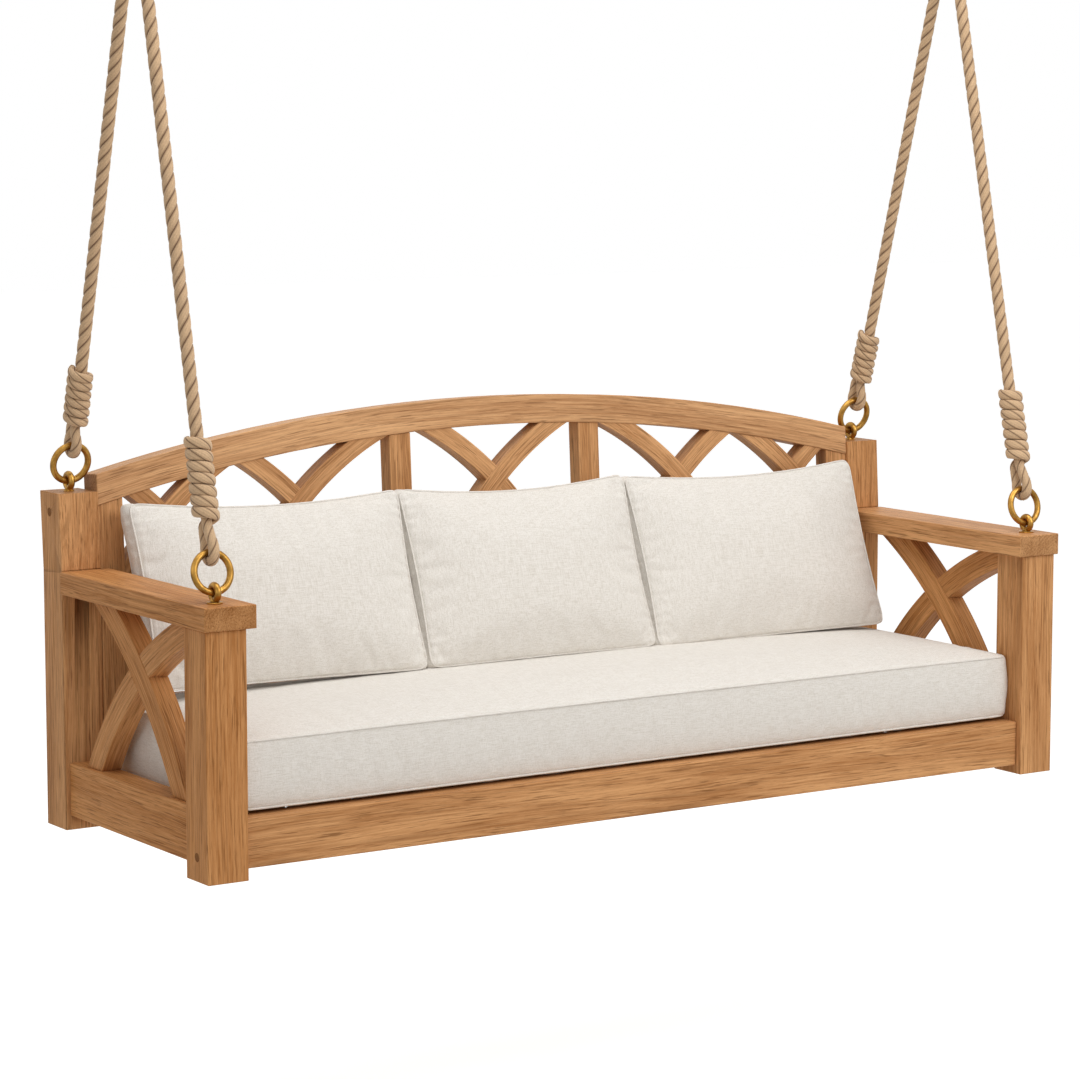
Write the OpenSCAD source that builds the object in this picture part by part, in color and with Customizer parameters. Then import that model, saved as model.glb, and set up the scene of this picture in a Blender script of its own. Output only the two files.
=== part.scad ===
// Hanging swing bed: a timber daybed with an arched, braced back, hung on two ropes.
// Each rope runs from the front post over a ring under the ceiling to the back post,
// where it ends in a loop bound by turns of its own. Millimetres, +Z up. The origin
// lies in the ceiling plane, midway between the two hangers, over their pins.

/* [Posts] */
// Overall width across the posts
frame_w = 2100; // [1900:10:2300]
// Overall depth across the posts
frame_d = 700; // [680:5:740]
// Side of the square posts
post = 88; // [82:1:94]
// Height of the front posts, up to the underside of the arms
front_post_h = 484; // [470:2:500]
// Height of the back posts
back_post_h = 686; // [670:2:710]
// Lean of the back above the arms, in degrees
rake = 3.5; // [2.5:0.5:5]
// Radius that eases the timber edges
edge_r = 3; // [2:0.5:4]

/* [Rails] */
// Height of the front rail's underside above the post ends
front_rail_z = 20; // [14:1:24]
// Height of the front rail
front_rail_h = 97; // [90:1:100]
// Height of the side and back rails' underside above the post ends
rail_z = 30; // [20:1:40]
// Height of the side and back rails
rail_h = 109; // [100:1:120]
// Thickness of the front rail
front_rail_t = 60; // [50:1:64]
// Thickness of the side rails
side_rail_t = 56; // [48:1:60]
// Thickness of the back rail
back_rail_t = 26; // [24:1:36]
// Set-back of the front and back rails from the post faces
rail_set = 15; // [10:1:20]
// Set-back of the side rails from the post faces
side_set = 10; // [6:1:16]
// Length of the tenons on the rails
tenon_l = 28; // [20:1:32]
// Shoulder round each tenon
shoulder = 10; // [8:1:12]

/* [Arms] */
// Thickness of the arms
arm_t = 46; // [40:1:52]
// Overhang of an arm past the outer face of its post
arm_out = 5; // [2:1:8]
// Overhang of an arm past the inner face of its post
arm_in = 18; // [12:1:24]
// Overhang of an arm past the front face of its post
arm_fore = 8; // [4:1:12]
// Width of the curved arm braces
brace_w = 55; // [48:1:60]
// Thickness of the curved arm braces
brace_t = 44; // [36:1:48]
// Distance of the arm braces' crossing behind the front posts
brace_y = 234; // [225:1:245]
// Height of the arm braces' crossing above the side rails
brace_z = 222; // [212:1:230]
// Radius of the brace that rises to the back, to its centre line
rising_r = 960; // [900:10:1060]
// Slope of the brace that rises to the back where the two cross, in degrees
rising_slope = 44.5; // [43:0.5:46]
// Radius of the brace that falls to the back, to its centre line
falling_r = 780; // [740:10:840]
// Slope of the brace that falls to the back where the two cross, in degrees
falling_slope = 37; // [36:0.5:39]

/* [Back] */
// Height of the arched top rail's section
arch_h = 62; // [56:1:68]
// Depth of the arched top rail's section
arch_t = 60; // [52:1:66]
// Rise of the arch from its ends to its middle
arch_rise = 115; // [100:1:125]
// Step of the arch's ends above the back posts
arch_step = 35; // [28:1:42]
// Thickness of the stiles, slats, lower rails and crossed braces
panel_t = 40; // [36:1:46]
// Set-back of the panel from the front faces of the back posts
panel_set = 8; // [4:1:14]
// Width of the end stiles
stile_w = 58; // [50:1:62]
// Width of the two upright slats
slat_w = 53; // [48:1:58]
// Distance of each upright slat's centre from the middle
slat_x = 243; // [235:1:255]
// Underside of the lowest back rail above the post ends
low_rail_z = 200; // [190:1:210]
// Height of the lowest back rail
low_rail_h = 60; // [54:1:68]
// Top of the middle back rails above the post ends
mid_rail_z = 385; // [375:1:395]
// Height of the middle back rails
mid_rail_h = 50; // [45:1:60]
// Width of the crossed braces in the back
cross_w = 39; // [34:1:44]
// Radius of the crossed braces, to their centre line
cross_r = 700; // [660:10:760]
// Slope of the crossed braces where they cross, in degrees
cross_slope = 45.5; // [44:0.5:47]
// Height of the middle crossing above the post ends
middle_cross_z = 656; // [645:1:665]
// Height of the two inner crossings above the post ends
inner_cross_z = 636; // [625:1:645]
// Height of the two outer crossings above the post ends
outer_cross_z = 626; // [618:1:636]
// Distance from the middle of a side bay to where its two crosses meet
bay_shift = 60; // [50:1:70]
// Distance from the middle of an inner cross's space to its crossing
inner_shift = 32; // [26:1:38]
// Distance from the middle of an outer cross's space to its crossing
outer_shift = 32; // [26:1:38]

/* [Seat] */
// Height of the deck's upper face above the post ends
deck_z = 121; // [118:1:126]
// Width of a seat slat
seat_slat_w = 95; // [80:1:110]
// Thickness of a seat slat
seat_slat_t = 18; // [15:1:22]
// Distance between the centres of neighbouring seat slats
seat_slat_step = 148; // [130:1:155]
// Width of the ledgers under the seat slats
ledger_w = 24; // [20:1:30]
// Height of the ledgers under the seat slats
ledger_h = 26; // [22:1:30]
// Thickness of the joists across the seat
joist_t = 40; // [34:1:46]
// Distance of each joist from the middle
joist_x = 320; // [280:5:380]

/* [Cushions] */
// Gap between the seat cushion's ends and the posts
seat_gap = 4; // [2:1:10]
// Height of the seat cushion's boxed edge
seat_edge = 138; // [130:1:142]
// Rise of the seat cushion's crown above its edge
seat_crown = 14; // [10:1:16]
// Distance of the seat cushion's front face behind the front posts' faces
seat_fore = 59; // [52:1:70]
// Gap between the seat cushion's back face and the back's panel
seat_back_gap = 29; // [24:1:40]
// Width of the middle back cushion
middle_w = 580; // [560:2:600]
// Height of the back cushions along their slope
pillow_h = 400; // [386:2:410]
// Thickness of the back cushions at their boxed edge
pillow_edge = 42; // [36:1:50]
// Rise of each back cushion's crown
pillow_crown = 36; // [28:1:40]
// Lean of the back cushions from upright, in degrees
pillow_lean = 18; // [17:0.5:19]
// Gap between neighbouring back cushions
pillow_gap = 4; // [2:1:8]
// Gap between the outer back cushions and the arms
pillow_side_gap = 14; // [4:1:20]

/* [Metalwork] */
// Thickness of the bar that the lower rings are made of
ring_bar = 13.5; // [12:0.5:15]
// Outer diameter of the lower rings
ring_d = 90; // [84:1:96]
// Thickness of the eye bolts' bar
eye_bar = 11; // [10:0.5:12]
// Inner diameter of the eyes
eye_d = 18; // [17:0.5:20]
// Diameter of the eye bolts' shanks
shank_d = 12; // [10:0.5:13]
// Diameter of the flanges under the front eyes
flange_d = 32; // [28:1:36]
// Diameter of the barrel nuts
nut_d = 18; // [16:0.5:20]
// Depth of the barrel nuts below the post tops
nut_depth = 40; // [34:1:46]
// Diameter of the wooden plugs
plug_d = 18; // [16:0.5:20]

/* [Hanging] */
// Diameter of the ropes
rope_d = 26; // [24:1:27]
// Distance of the pins below the ceiling
pin_drop = 36; // [34:1:44]
// Diameter of the pins
pin_d = 12; // [10:0.5:14]
// Clearance of a link's bore round its pin, on the radius
pin_clear = 0.05; // [0.02:0.01:0.09]
// Thickness of the links
link_t = 10; // [8:1:12]
// Distance between the two holes of a link
link_l = 34.5; // [33:0.5:40]
// Thickness of the bar that the upper rings are made of
top_bar = 14; // [12:0.5:15]
// Outer diameter of the upper rings
top_ring_d = 70; // [68:1:74]
// Thickness of the hangers' plates and cheeks
plate_t = 6; // [5:0.5:8]
// Distance between the two screw holes of a hanger
screw_gap = 84; // [76:1:90]
// Diameter of the hangers' screw holes
screw_d = 10; // [8:0.5:12]

/* [Rope turns] */
// Turns of rope that bind each loop
turns = 7; // [6:1:7]
// Rise of the binding for each turn
pitch = 22; // [21.9:0.1:24]
// Height of the binding rope's pressed section
turn_h = 21; // [19:0.5:21.4]
// Thickness of the binding rope's pressed section
turn_t = 13; // [11:0.5:14]
// Diameter of the rope in the loops through the rings
loop_d = 20; // [18:0.5:21]

/* [Hidden] */

// The route of each rope, front to back, in the plane of its posts: distance behind
// the front posts' faces, height above the post ends.
rope_route = [
    [79, 711.5], [317, 1806], [320, 1824], [322, 1842], [322, 1878],
    [316, 1898], [315, 1910], [318, 1920], [325, 1927], [335, 1930],
    [345, 1927], [352, 1920], [355, 1910], [354, 1898],
    [348, 1878], [348, 1842], [350, 1824], [353, 1806], [620.5, 865],
];
// Where the upper rings' lowest bar crosses that plane, under the pins
saddle = [335, 1910];

side_top = rail_z + rail_h;
arm_top = front_post_h + arm_t;
post_x = (frame_w - post) / 2;
inner_x = frame_w / 2 - post;
back_y = frame_d - post;
arm_w = arm_out + post + arm_in;
stile_in = inner_x - stile_w;
top_ring_r = (top_ring_d - top_bar) / 2;
link_hole_r = top_bar / 2 + 2;
seat_snug = 0.3;
seat_d = back_y + panel_set - seat_back_gap - seat_fore;
link_low_z = saddle.y + 2 * top_ring_r + link_hole_r - top_bar / 2 - seat_snug;
pin_z = link_low_z + link_l;
drop = pin_z + pin_drop;
cord_sides = 10;
$fn = 48;

// ---- shared shapes ----

// The bed stands in this frame with its post ends at zero and its front at zero.
module bed() {
    translate([0, -saddle.x, -drop]) children();
}

// What leans with the back, from the front edge of the back posts at arm height.
module leaning() {
    translate([0, back_y, arm_top]) rotate([-rake, 0, 0]) children();
}

module both_sides() {
    for (side = [-1, 1]) translate([side * post_x, 0, 0]) children();
}

module eased(w, h) {
    translate([edge_r, 0]) square([w - 2 * edge_r, h]);
    translate([0, edge_r]) square([w, h - 2 * edge_r]);
    for (x = [edge_r, w - edge_r], y = [edge_r, h - edge_r]) translate([x, y]) circle(edge_r);
}

// A sawn and planed timber from the origin, with its long edges and ends eased.
module timber(size) {
    intersection() {
        linear_extrude(size.z) eased(size.x, size.y);
        translate([0, size.y, 0]) rotate([90, 0, 0]) linear_extrude(size.y) eased(size.x, size.z);
        rotate([90, 0, 90]) linear_extrude(size.x) eased(size.y, size.z);
    }
}

// A flat curved piece: a band of a circle of radius r whose centre line passes the
// origin at the given slope and bulges upward, in the XY plane.
module band(r, slope, w) {
    translate([r * sin(slope), -r * cos(slope)]) difference() {
        circle(r + w / 2, $fn = 180);
        circle(r - w / 2, $fn = 180);
    }
}

// A torus round the Y axis.
module ring(outer_d, bar) {
    rotate([90, 0, 0]) rotate_extrude($fn = 48)
        translate([(outer_d - bar) / 2, 0]) circle(bar / 2, $fn = 24);
}

module along_x(d, l) {
    rotate([0, 90, 0]) cylinder(h = l, d = d, center = true);
}

// ---- posts and rails ----

// The tenon of a rail, as a block from the origin along +X.
module tenon(t, h) {
    translate([-0.01, shoulder, shoulder]) cube([tenon_l + 0.01, t - 2 * shoulder, h - 2 * shoulder]);
}

// A rail between the posts of the front or back, with a tenon at each end.
module long_rail(y, z, t, h) {
    translate([-inner_x, y, z]) timber([2 * inner_x, t, h]);
    for (side = [0, 1]) mirror([side, 0, 0]) translate([inner_x, y, z]) tenon(t, h);
}

module front_rail_solid() {
    long_rail(rail_set, front_rail_z, front_rail_t, front_rail_h);
}

module back_rail_solid() {
    long_rail(frame_d - rail_set - back_rail_t, rail_z, back_rail_t, rail_h);
}

module side_rail_solid() {
    x = frame_w / 2 - side_set;
    translate([x, post, rail_z]) rotate([0, 0, 90]) timber([back_y - post, side_rail_t, rail_h]);
    translate([x, back_y, rail_z]) rotate([0, 0, 90]) tenon(side_rail_t, rail_h);
    translate([x - side_rail_t, post, rail_z]) rotate([0, 0, -90]) tenon(side_rail_t, rail_h);
}

module eye_bolt_hole(top) {
    translate([post_x, 0, top - nut_depth - nut_d]) cylinder(h = nut_depth + nut_d + arm_t + 5, d = shank_d + 1);
}

// The cross hole of a barrel nut along +X, from just past the bolt to beyond the post.
module nut_hole() {
    translate([-nut_d, 0, 0]) rotate([0, 90, 0]) cylinder(h = post / 2 + nut_d + 1, d = nut_d + 0.4);
}

module front_post(side) {
    color("peru") bed() mirror([side, 0, 0]) difference() {
        translate([inner_x, 0, 0]) timber([post, post, front_post_h]);
        front_rail_solid();
        side_rail_solid();
        translate([0, post / 2, 0]) eye_bolt_hole(front_post_h);
        translate([post_x, post / 2, front_post_h - nut_depth]) rotate([0, 0, 90]) nut_hole();
        plug_front();
    }
}

module back_post(side) {
    top_y = (back_post_h - arm_top) * tan(rake);
    color("peru") bed() mirror([side, 0, 0]) difference() {
        union() {
            translate([inner_x, back_y, 0]) timber([post, post, arm_top]);
            intersection() {
                leaning() translate([inner_x, 0, 0]) timber([post, post, back_post_h]);
                translate([inner_x, back_y - 1, arm_top - 2 * edge_r - 2])
                    timber([post, post + 2 * top_y + 20, back_post_h - arm_top + 2 * edge_r + 2]);
            }
            leaning() translate([inner_x, edge_r, -edge_r]) cube([post, post - 2 * edge_r, 2 * edge_r + 8]);
        }
        back_rail_solid();
        side_rail_solid();
        translate([0, back_eye_y, 0]) eye_bolt_hole(back_post_h);
        translate([post_x, back_eye_y, back_post_h - nut_depth]) nut_hole();
        arm_dowel_pair();
    }
}

front_eye_y = post / 2;
back_eye_y = back_y + post / 2 + (back_post_h - arm_top) * tan(rake);

module post_front_left() { front_post(1); }
module post_front_right() { front_post(0); }
module post_back_left() { back_post(1); }
module post_back_right() { back_post(0); }

module front_rail() {
    color("peru") bed() front_rail_solid();
}

module back_rail() {
    color("peru") bed() back_rail_solid();
}

module side_rail_left() {
    color("peru") bed() mirror([1, 0, 0]) side_rail_solid();
}

module side_rail_right() {
    color("peru") bed() side_rail_solid();
}

// ---- arms and their braces ----

dowel_d = 12;
dowel_l = 60;
dowel_spread = 30;

// The dowels that join an arm to its back post.
module arm_dowel_pair() {
    for (x = [-dowel_spread, dowel_spread])
        translate([post_x + x / 2, back_y + dowel_l / 2, front_post_h + arm_t / 2])
            rotate([90, 0, 0]) cylinder(h = dowel_l, d = dowel_d);
}

module arm(side) {
    color("peru") bed() mirror([side, 0, 0]) difference() {
        translate([inner_x - arm_in, -arm_fore, front_post_h]) timber([arm_w, back_y + arm_fore, arm_t]);
        translate([0, front_eye_y, 0]) eye_bolt_hole(front_post_h);
        arm_dowel_pair();
    }
}

module arm_left() { arm(1); }
module arm_right() { arm(0); }

// An arm brace's outline, with Y as the width and Z as the height of the opening.
module brace_outline(rising) {
    intersection() {
        square([back_y - post, front_post_h - side_top]);
        translate([brace_y, brace_z]) {
            if (rising) band(rising_r, rising_slope, brace_w);
            if (!rising) mirror([1, 0]) band(falling_r, falling_slope, brace_w);
        }
    }
}

// The two braces of an arm are halved where they cross; the rising one lies to the left.
module arm_brace(side, rising) {
    color("peru") bed() translate([side * post_x - brace_t / 2, post, side_top]) rotate([90, 0, 90]) difference() {
        linear_extrude(brace_t) brace_outline(rising);
        translate([0, 0, rising ? brace_t / 2 : -1]) linear_extrude(brace_t / 2 + 1) brace_outline(!rising);
    }
}

module arm_brace_rising_left() { arm_brace(-1, true); }
module arm_brace_falling_left() { arm_brace(-1, false); }
module arm_brace_rising_right() { arm_brace(1, true); }
module arm_brace_falling_right() { arm_brace(1, false); }

// ---- the back: outlines in the leaning plane, X across and Y up the slope ----

function up(z) = (z - arm_top) / cos(rake);
arch_end = up(back_post_h + arch_step);
arch_r = (inner_x * inner_x + arch_rise * arch_rise) / (2 * arch_rise);
arch_c = arch_end + arch_rise - arch_r;
mid_top = up(mid_rail_z);
low_top = up(low_rail_z + low_rail_h);

module panel_piece(t = panel_t, y = panel_set) {
    color("peru") bed() leaning() translate([0, y + t, 0]) rotate([90, 0, 0]) linear_extrude(t) children();
}

module under_arch() {
    translate([0, arch_c]) circle(arch_r - arch_h, $fn = 360);
}

module upright(x0, x1, z0) {
    intersection() {
        translate([x0, z0]) square([x1 - x0, arch_end + arch_rise - z0]);
        under_arch();
    }
}

module arch_rail() {
    panel_piece(arch_t, panel_set - 3) intersection() {
        difference() {
            translate([0, arch_c]) circle(arch_r, $fn = 360);
            under_arch();
        }
        translate([-inner_x, arch_end - arch_h - 30]) square([2 * inner_x, arch_h + arch_rise + 60]);
    }
}

module low_rail() {
    panel_piece() translate([-stile_in, up(low_rail_z)]) square([2 * stile_in, low_top - up(low_rail_z)]);
}

module mid_rails() {
    slat_out = slat_x + slat_w / 2;
    for (side = [-1, 1])
        panel_piece() translate([side > 0 ? slat_out : -stile_in, mid_top - mid_rail_h])
            square([stile_in - slat_out, mid_rail_h]);
    panel_piece() translate([-slat_x + slat_w / 2, mid_top - mid_rail_h])
        square([2 * slat_x - slat_w, mid_rail_h]);
}

module stile_left() { panel_piece() upright(-inner_x, -stile_in, up(low_rail_z)); }
module stile_right() { panel_piece() upright(stile_in, inner_x, up(low_rail_z)); }
module back_slat_left() { panel_piece() upright(-slat_x - slat_w / 2, -slat_x + slat_w / 2, low_top); }
module back_slat_right() { panel_piece() upright(slat_x - slat_w / 2, slat_x + slat_w / 2, low_top); }

// Each cell: middle of the cross, height of the crossing, left and right edge.
slat_edge = slat_x + slat_w / 2;
cell_edge = (slat_edge + stile_in) / 2 + bay_shift;
middle_cell = [0, middle_cross_z, slat_w / 2 - slat_x, slat_x - slat_w / 2];
inner_cell = [(slat_edge + cell_edge) / 2 + inner_shift, inner_cross_z, slat_edge, cell_edge];
outer_cell = [(cell_edge + stile_in) / 2 + outer_shift, outer_cross_z, cell_edge, stile_in];

module cross_outline(cell, rising) {
    intersection() {
        upright(cell[2], cell[3], mid_top);
        translate([cell[0], up(cell[1])]) {
            if (rising) band(cross_r, cross_slope, cross_w);
            if (!rising) mirror([1, 0]) band(cross_r, cross_slope, cross_w);
        }
    }
}

// A crossed brace, halved where its partner passes it in front or behind.
module cross(cell, rising, side, in_front) {
    way = side > 0 ? rising : !rising;
    color("peru") bed() leaning() translate([0, panel_set + panel_t, 0]) rotate([90, 0, 0])
        mirror([side > 0 ? 0 : 1, 0, 0]) difference() {
            linear_extrude(panel_t) cross_outline(cell, way);
            translate([0, 0, in_front ? -1 : panel_t / 2])
                linear_extrude(panel_t / 2 + 1) cross_outline(cell, !way);
        }
}

module cross_outer_left_rising() { cross(outer_cell, true, -1, true); }
module cross_outer_left_falling() { cross(outer_cell, false, -1, false); }
module cross_inner_left_rising() { cross(inner_cell, true, -1, true); }
module cross_inner_left_falling() { cross(inner_cell, false, -1, false); }
module cross_middle_rising() { cross(middle_cell, true, 1, true); }
module cross_middle_falling() { cross(middle_cell, false, 1, false); }
module cross_inner_right_rising() { cross(inner_cell, true, 1, false); }
module cross_inner_right_falling() { cross(inner_cell, false, 1, true); }
module cross_outer_right_rising() { cross(outer_cell, true, 1, false); }
module cross_outer_right_falling() { cross(outer_cell, false, 1, true); }

// ---- the seat's deck ----

deck_front = rail_set + front_rail_t;
deck_back = frame_d - rail_set - back_rail_t;
slat_z = deck_z - seat_slat_t;

module seat_slats() {
    count = floor((2 * inner_x - seat_slat_w - 20) / seat_slat_step) + 1;
    color("burlywood") bed() for (i = [0:count - 1])
        translate([(i - (count - 1) / 2) * seat_slat_step - seat_slat_w / 2, deck_front, slat_z])
            timber([seat_slat_w, deck_back - deck_front, seat_slat_t]);
}

module ledgers() {
    color("burlywood") bed() for (y = [deck_front, deck_back - ledger_w])
        translate([-inner_x, y, slat_z - ledger_h]) cube([2 * inner_x, ledger_w, ledger_h]);
}

module joists() {
    low = slat_z - ledger_h;
    color("burlywood") bed() for (x = [-joist_x, joist_x]) translate([x - joist_t / 2, 0, 0]) {
        translate([0, deck_front, rail_z + shoulder]) cube([joist_t, deck_back - deck_front, low - rail_z - shoulder]);
        translate([0, deck_front + ledger_w, low - 1])
            cube([joist_t, deck_back - deck_front - 2 * ledger_w, slat_z - low + 1]);
    }
}

// ---- dowels, plugs and nuts ----

module dowels() {
    color("burlywood") bed() for (side = [0, 1]) mirror([side, 0, 0]) arm_dowel_pair();
}

plug_l = 9;
plug_z = 48;

module plug_front() {
    translate([frame_w / 2 - plug_l, post / 2, plug_z]) rotate([0, 90, 0]) cylinder(h = plug_l + 1, d = plug_d);
}

// Plugs close the holes over the rail screws and over the back posts' barrel nuts.
module plugs() {
    color("saddlebrown") bed() for (side = [0, 1]) mirror([side, 0, 0]) {
        translate([frame_w / 2 - plug_l, post / 2, plug_z]) rotate([0, 90, 0]) cylinder(h = plug_l, d = plug_d);
        translate([frame_w / 2 - plug_l, back_eye_y, back_post_h - nut_depth]) rotate([0, 90, 0])
            cylinder(h = plug_l, d = nut_d + 0.4);
    }
}

module barrel_nuts() {
    color("darkgray") bed() for (side = [0, 1]) mirror([side, 0, 0])
        for (spot = [[front_eye_y, front_post_h, 90], [back_eye_y, back_post_h, 0]])
            translate([post_x, spot[0], spot[1] - nut_depth]) rotate([0, 0, spot[2]]) difference() {
                along_x(nut_d, 1.6 * nut_d);
                translate([0, 0, -nut_d]) cylinder(h = 2 * nut_d, d = shank_d);
            }
}

// ---- cushions ----

// One ring of a cushion's skin: a rectangle of half sides a and b whose sides are
// drawn in between the corners, with n points to a long side and m to a short one.
function skin_ring(a, b, draw, z, n, m) = concat(
    [for (i = [0:n - 1]) let (s = 2 * i / n - 1) [a * s, -b + draw * (1 - s * s), z]],
    [for (i = [0:m - 1]) let (s = 2 * i / m - 1) [a - draw * (1 - s * s), b * s, z]],
    [for (i = [0:n - 1]) let (s = 1 - 2 * i / n) [a * s, b - draw * (1 - s * s), z]],
    [for (i = [0:m - 1]) let (s = 1 - 2 * i / m) [-a + draw * (1 - s * s), b * s, z]]);

// Rings of equal count joined with triangles and closed by a point at each end.
module skin(rings, bottom, top) {
    n = len(rings[0]);
    last = len(rings) - 1;
    points = concat([for (r = rings) each r], [bottom, top]);
    polyhedron(points, concat(
        [for (k = [0:last - 1], i = [0:n - 1]) let (j = (i + 1) % n)
            each [[k * n + i, (k + 1) * n + i, k * n + j], [k * n + j, (k + 1) * n + i, (k + 1) * n + j]]],
        [for (i = [0:n - 1]) [i, (i + 1) % n, (last + 1) * n]],
        [for (i = [0:n - 1]) [last * n + (i + 1) % n, last * n + i, (last + 1) * n + 1]]), convexity = 4);
}

// A boxed cushion of half sides a and b round the origin: its edge stands from 0 to h,
// and its crowns rise by low and high beyond that edge. At its foot, where y is least,
// it is cut off at the slope given, so that it stands on a level seat when it leans.
module cushion(a, b, h, low, high, draw, n, m, slope = 0) {
    function crown(x) = 1 - pow(1 - x, 2.4);
    function stand(p) = [p.x, p.y - slope * (p.z - h) * (b - p.y) / (2 * b), p.z];
    steps = [0.72, 0.42, 0.2, 0.06];
    under = [for (s = steps) skin_ring(a - s * b, b - s * b, draw * (1 - s), -low * crown(s), n, m)];
    edge = [
        skin_ring(a, b, draw, h * 0.05, n, m),
        skin_ring(a + 3, b + 3, draw, h * 0.5, n, m),
        skin_ring(a, b, draw, h * 0.95, n, m),
    ];
    over = [for (i = [3:-1:0]) let (s = steps[i])
        skin_ring(a - s * b, b - s * b, draw * (1 - s), h + high * crown(s), n, m)];
    rings = [for (r = concat(under, edge, over)) [for (p = r) stand(p)]];
    skin(rings, stand([0, 0, -low]), stand([0, 0, h + high]));
}

module seat_cushion() {
    color("linen") bed() translate([0, seat_fore + seat_d / 2, deck_z + seat_snug])
        cushion(inner_x - seat_gap - 3, seat_d / 2 - 3, seat_edge, 0, seat_crown, 4, 18, 6);
}

// The cushions stand on the seat cushion's crown, and their back edge all but touches
// the panel at the top.
pillow_draw = 20;
pillow_clear = 6;
pillow_sink = 1.5;
pillow_foot_z = deck_z + seat_snug + seat_edge + seat_crown - pillow_sink;
pillow_top_z = pillow_foot_z + pillow_h * cos(pillow_lean) - pillow_edge * sin(pillow_lean);
pillow_top_y = back_y + panel_set / cos(rake) + (pillow_top_z - arm_top) * tan(rake) - pillow_clear;
pillow_foot_y = pillow_top_y - pillow_edge * cos(pillow_lean) - pillow_h * sin(pillow_lean);

// A back cushion between two distances from the middle, leaning on the panel.
module back_cushion(x0, x1) {
    color("linen") bed() translate([(x0 + x1) / 2, pillow_foot_y, pillow_foot_z]) rotate([90 - pillow_lean, 0, 0])
        translate([0, pillow_h / 2, -pillow_edge])
            cushion((x1 - x0) / 2 - 3, pillow_h / 2 - 3, pillow_edge, pillow_crown, pillow_crown,
                pillow_draw, 10, 8, tan(pillow_lean));
}

pillow_out = inner_x - arm_in - pillow_side_gap;

module back_cushion_left() { back_cushion(-pillow_out, -middle_w / 2 - pillow_gap); }
module back_cushion_middle() { back_cushion(-middle_w / 2, middle_w / 2); }
module back_cushion_right() { back_cushion(middle_w / 2 + pillow_gap, pillow_out); }

// ---- eye bolts and rings ----

eye_r = (eye_d + eye_bar) / 2;
eye_up = eye_r + eye_bar / 2 - 1;

// An eye bolt with its shoulder at the origin, its eye across the bed.
module eye_bolt(depth, flange) {
    translate([0, 0, eye_up]) rotate([0, 0, 90]) ring(2 * eye_r + eye_bar, eye_bar);
    translate([0, 0, -depth]) cylinder(h = depth + eye_bar / 2, d = shank_d);
    if (flange) cylinder(h = 3, d = flange_d);
    if (!flange) cylinder(h = eye_bar / 2, d1 = shank_d + 7, d2 = shank_d);
}

module front_eye_bolt(side) {
    color("goldenrod") bed() translate([side * post_x, front_eye_y, arm_top])
        eye_bolt(arm_t + nut_depth + nut_d / 2, true);
}

module back_eye_bolt(side) {
    color("goldenrod") bed() translate([side * post_x, back_eye_y, back_post_h])
        eye_bolt(nut_depth + nut_d / 2, false);
}

module eye_bolt_front_left() { front_eye_bolt(-1); }
module eye_bolt_front_right() { front_eye_bolt(1); }
module eye_bolt_back_left() { back_eye_bolt(-1); }
module eye_bolt_back_right() { back_eye_bolt(1); }

// Where a lower ring's bar bears in its eye, as distance from the front and height.
hang_in_eye = eye_up + (eye_d - ring_bar) / 2 - seat_snug;
front_bear = [front_eye_y, arm_top + hang_in_eye];
back_bear = [back_eye_y, back_post_h + hang_in_eye];
// The ropes' angles from upright, from each bearing to where the rope meets its partner
route_end = len(rope_route) - 1;
front_angle = atan2(rope_route[1].x - front_bear.x, rope_route[1].y - front_bear.y);
back_angle = atan2(rope_route[route_end - 1].x - back_bear.x, rope_route[route_end - 1].y - back_bear.y);
ring_r = (ring_d - ring_bar) / 2;

// A frame on a rope's line, with its origin a distance up from the bearing.
module in_line(side, bear, angle, up_line) {
    bed() translate([side * post_x, bear.x, bear.y]) rotate([-angle, 0, 0]) translate([0, 0, up_line]) children();
}

module lower_ring(side, bear, angle) {
    color("goldenrod") in_line(side, bear, angle, ring_r) ring(ring_d, ring_bar);
}

module ring_front_left() { lower_ring(-1, front_bear, front_angle); }
module ring_front_right() { lower_ring(1, front_bear, front_angle); }
module ring_back_left() { lower_ring(-1, back_bear, back_angle); }
module ring_back_right() { lower_ring(1, back_bear, back_angle); }

// ---- knots: a loop through the ring and the turns that bind it, one length of rope ----

loop_r = ring_bar / 2 + loop_d / 2 + seat_snug;
turn_r = rope_d / 2 + turn_t / 2 + 0.6;
first_turn = 70;
loop_rings = 14;
rope_end = 87.8;

// The knot's line, from the rope's end down round the ring's bar and up into the
// turns: place, and half width across and along the turns.
round_half = [loop_d / 2, loop_d / 2];
flat_half = [turn_t / 2, turn_h / 2];
function mix(a, b, t) = a + (b - a) * t;
function helix(t) = [turn_r * sin(t), turn_r * cos(t), first_turn + pitch * t / 360];
knot_line = concat(
    [for (p = [[0, rope_end], [0, rope_end - loop_d], [-3, 56], [-10, 42], [-15, 28], [-loop_r, 14]])
        [[0, p.x, p.y], round_half]],
    [for (a = [0:30:180]) [[0, -loop_r * cos(a), -loop_r * sin(a)], round_half]],
    [[[0, loop_r, 18], round_half], [[0, mix(loop_r, turn_r, 0.3), 36], round_half],
        [[0.6, mix(loop_r, turn_r, 0.8), 50], mix(round_half, flat_half, 0.2)],
        [[3.6, turn_r, 60], mix(round_half, flat_half, 0.5)],
        [[turn_r * sin(28), turn_r * cos(28), 67.5], mix(round_half, flat_half, 0.8)]],
    [for (i = [2:turns * loop_rings - 2]) let (t = 360 * i / loop_rings) [helix(t), flat_half]],
    [for (k = [1, 2]) let (t = 360 * (turns * loop_rings - 2) / loop_rings)
        [helix(t) + k * turn_t / 2 * [cos(t), -sin(t), 0], flat_half]]);

function unit(v) = v / norm(v);
function heading(line, i) = unit(line[min(i + 1, len(line) - 1)] - line[max(i - 1, 0)]);
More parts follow.
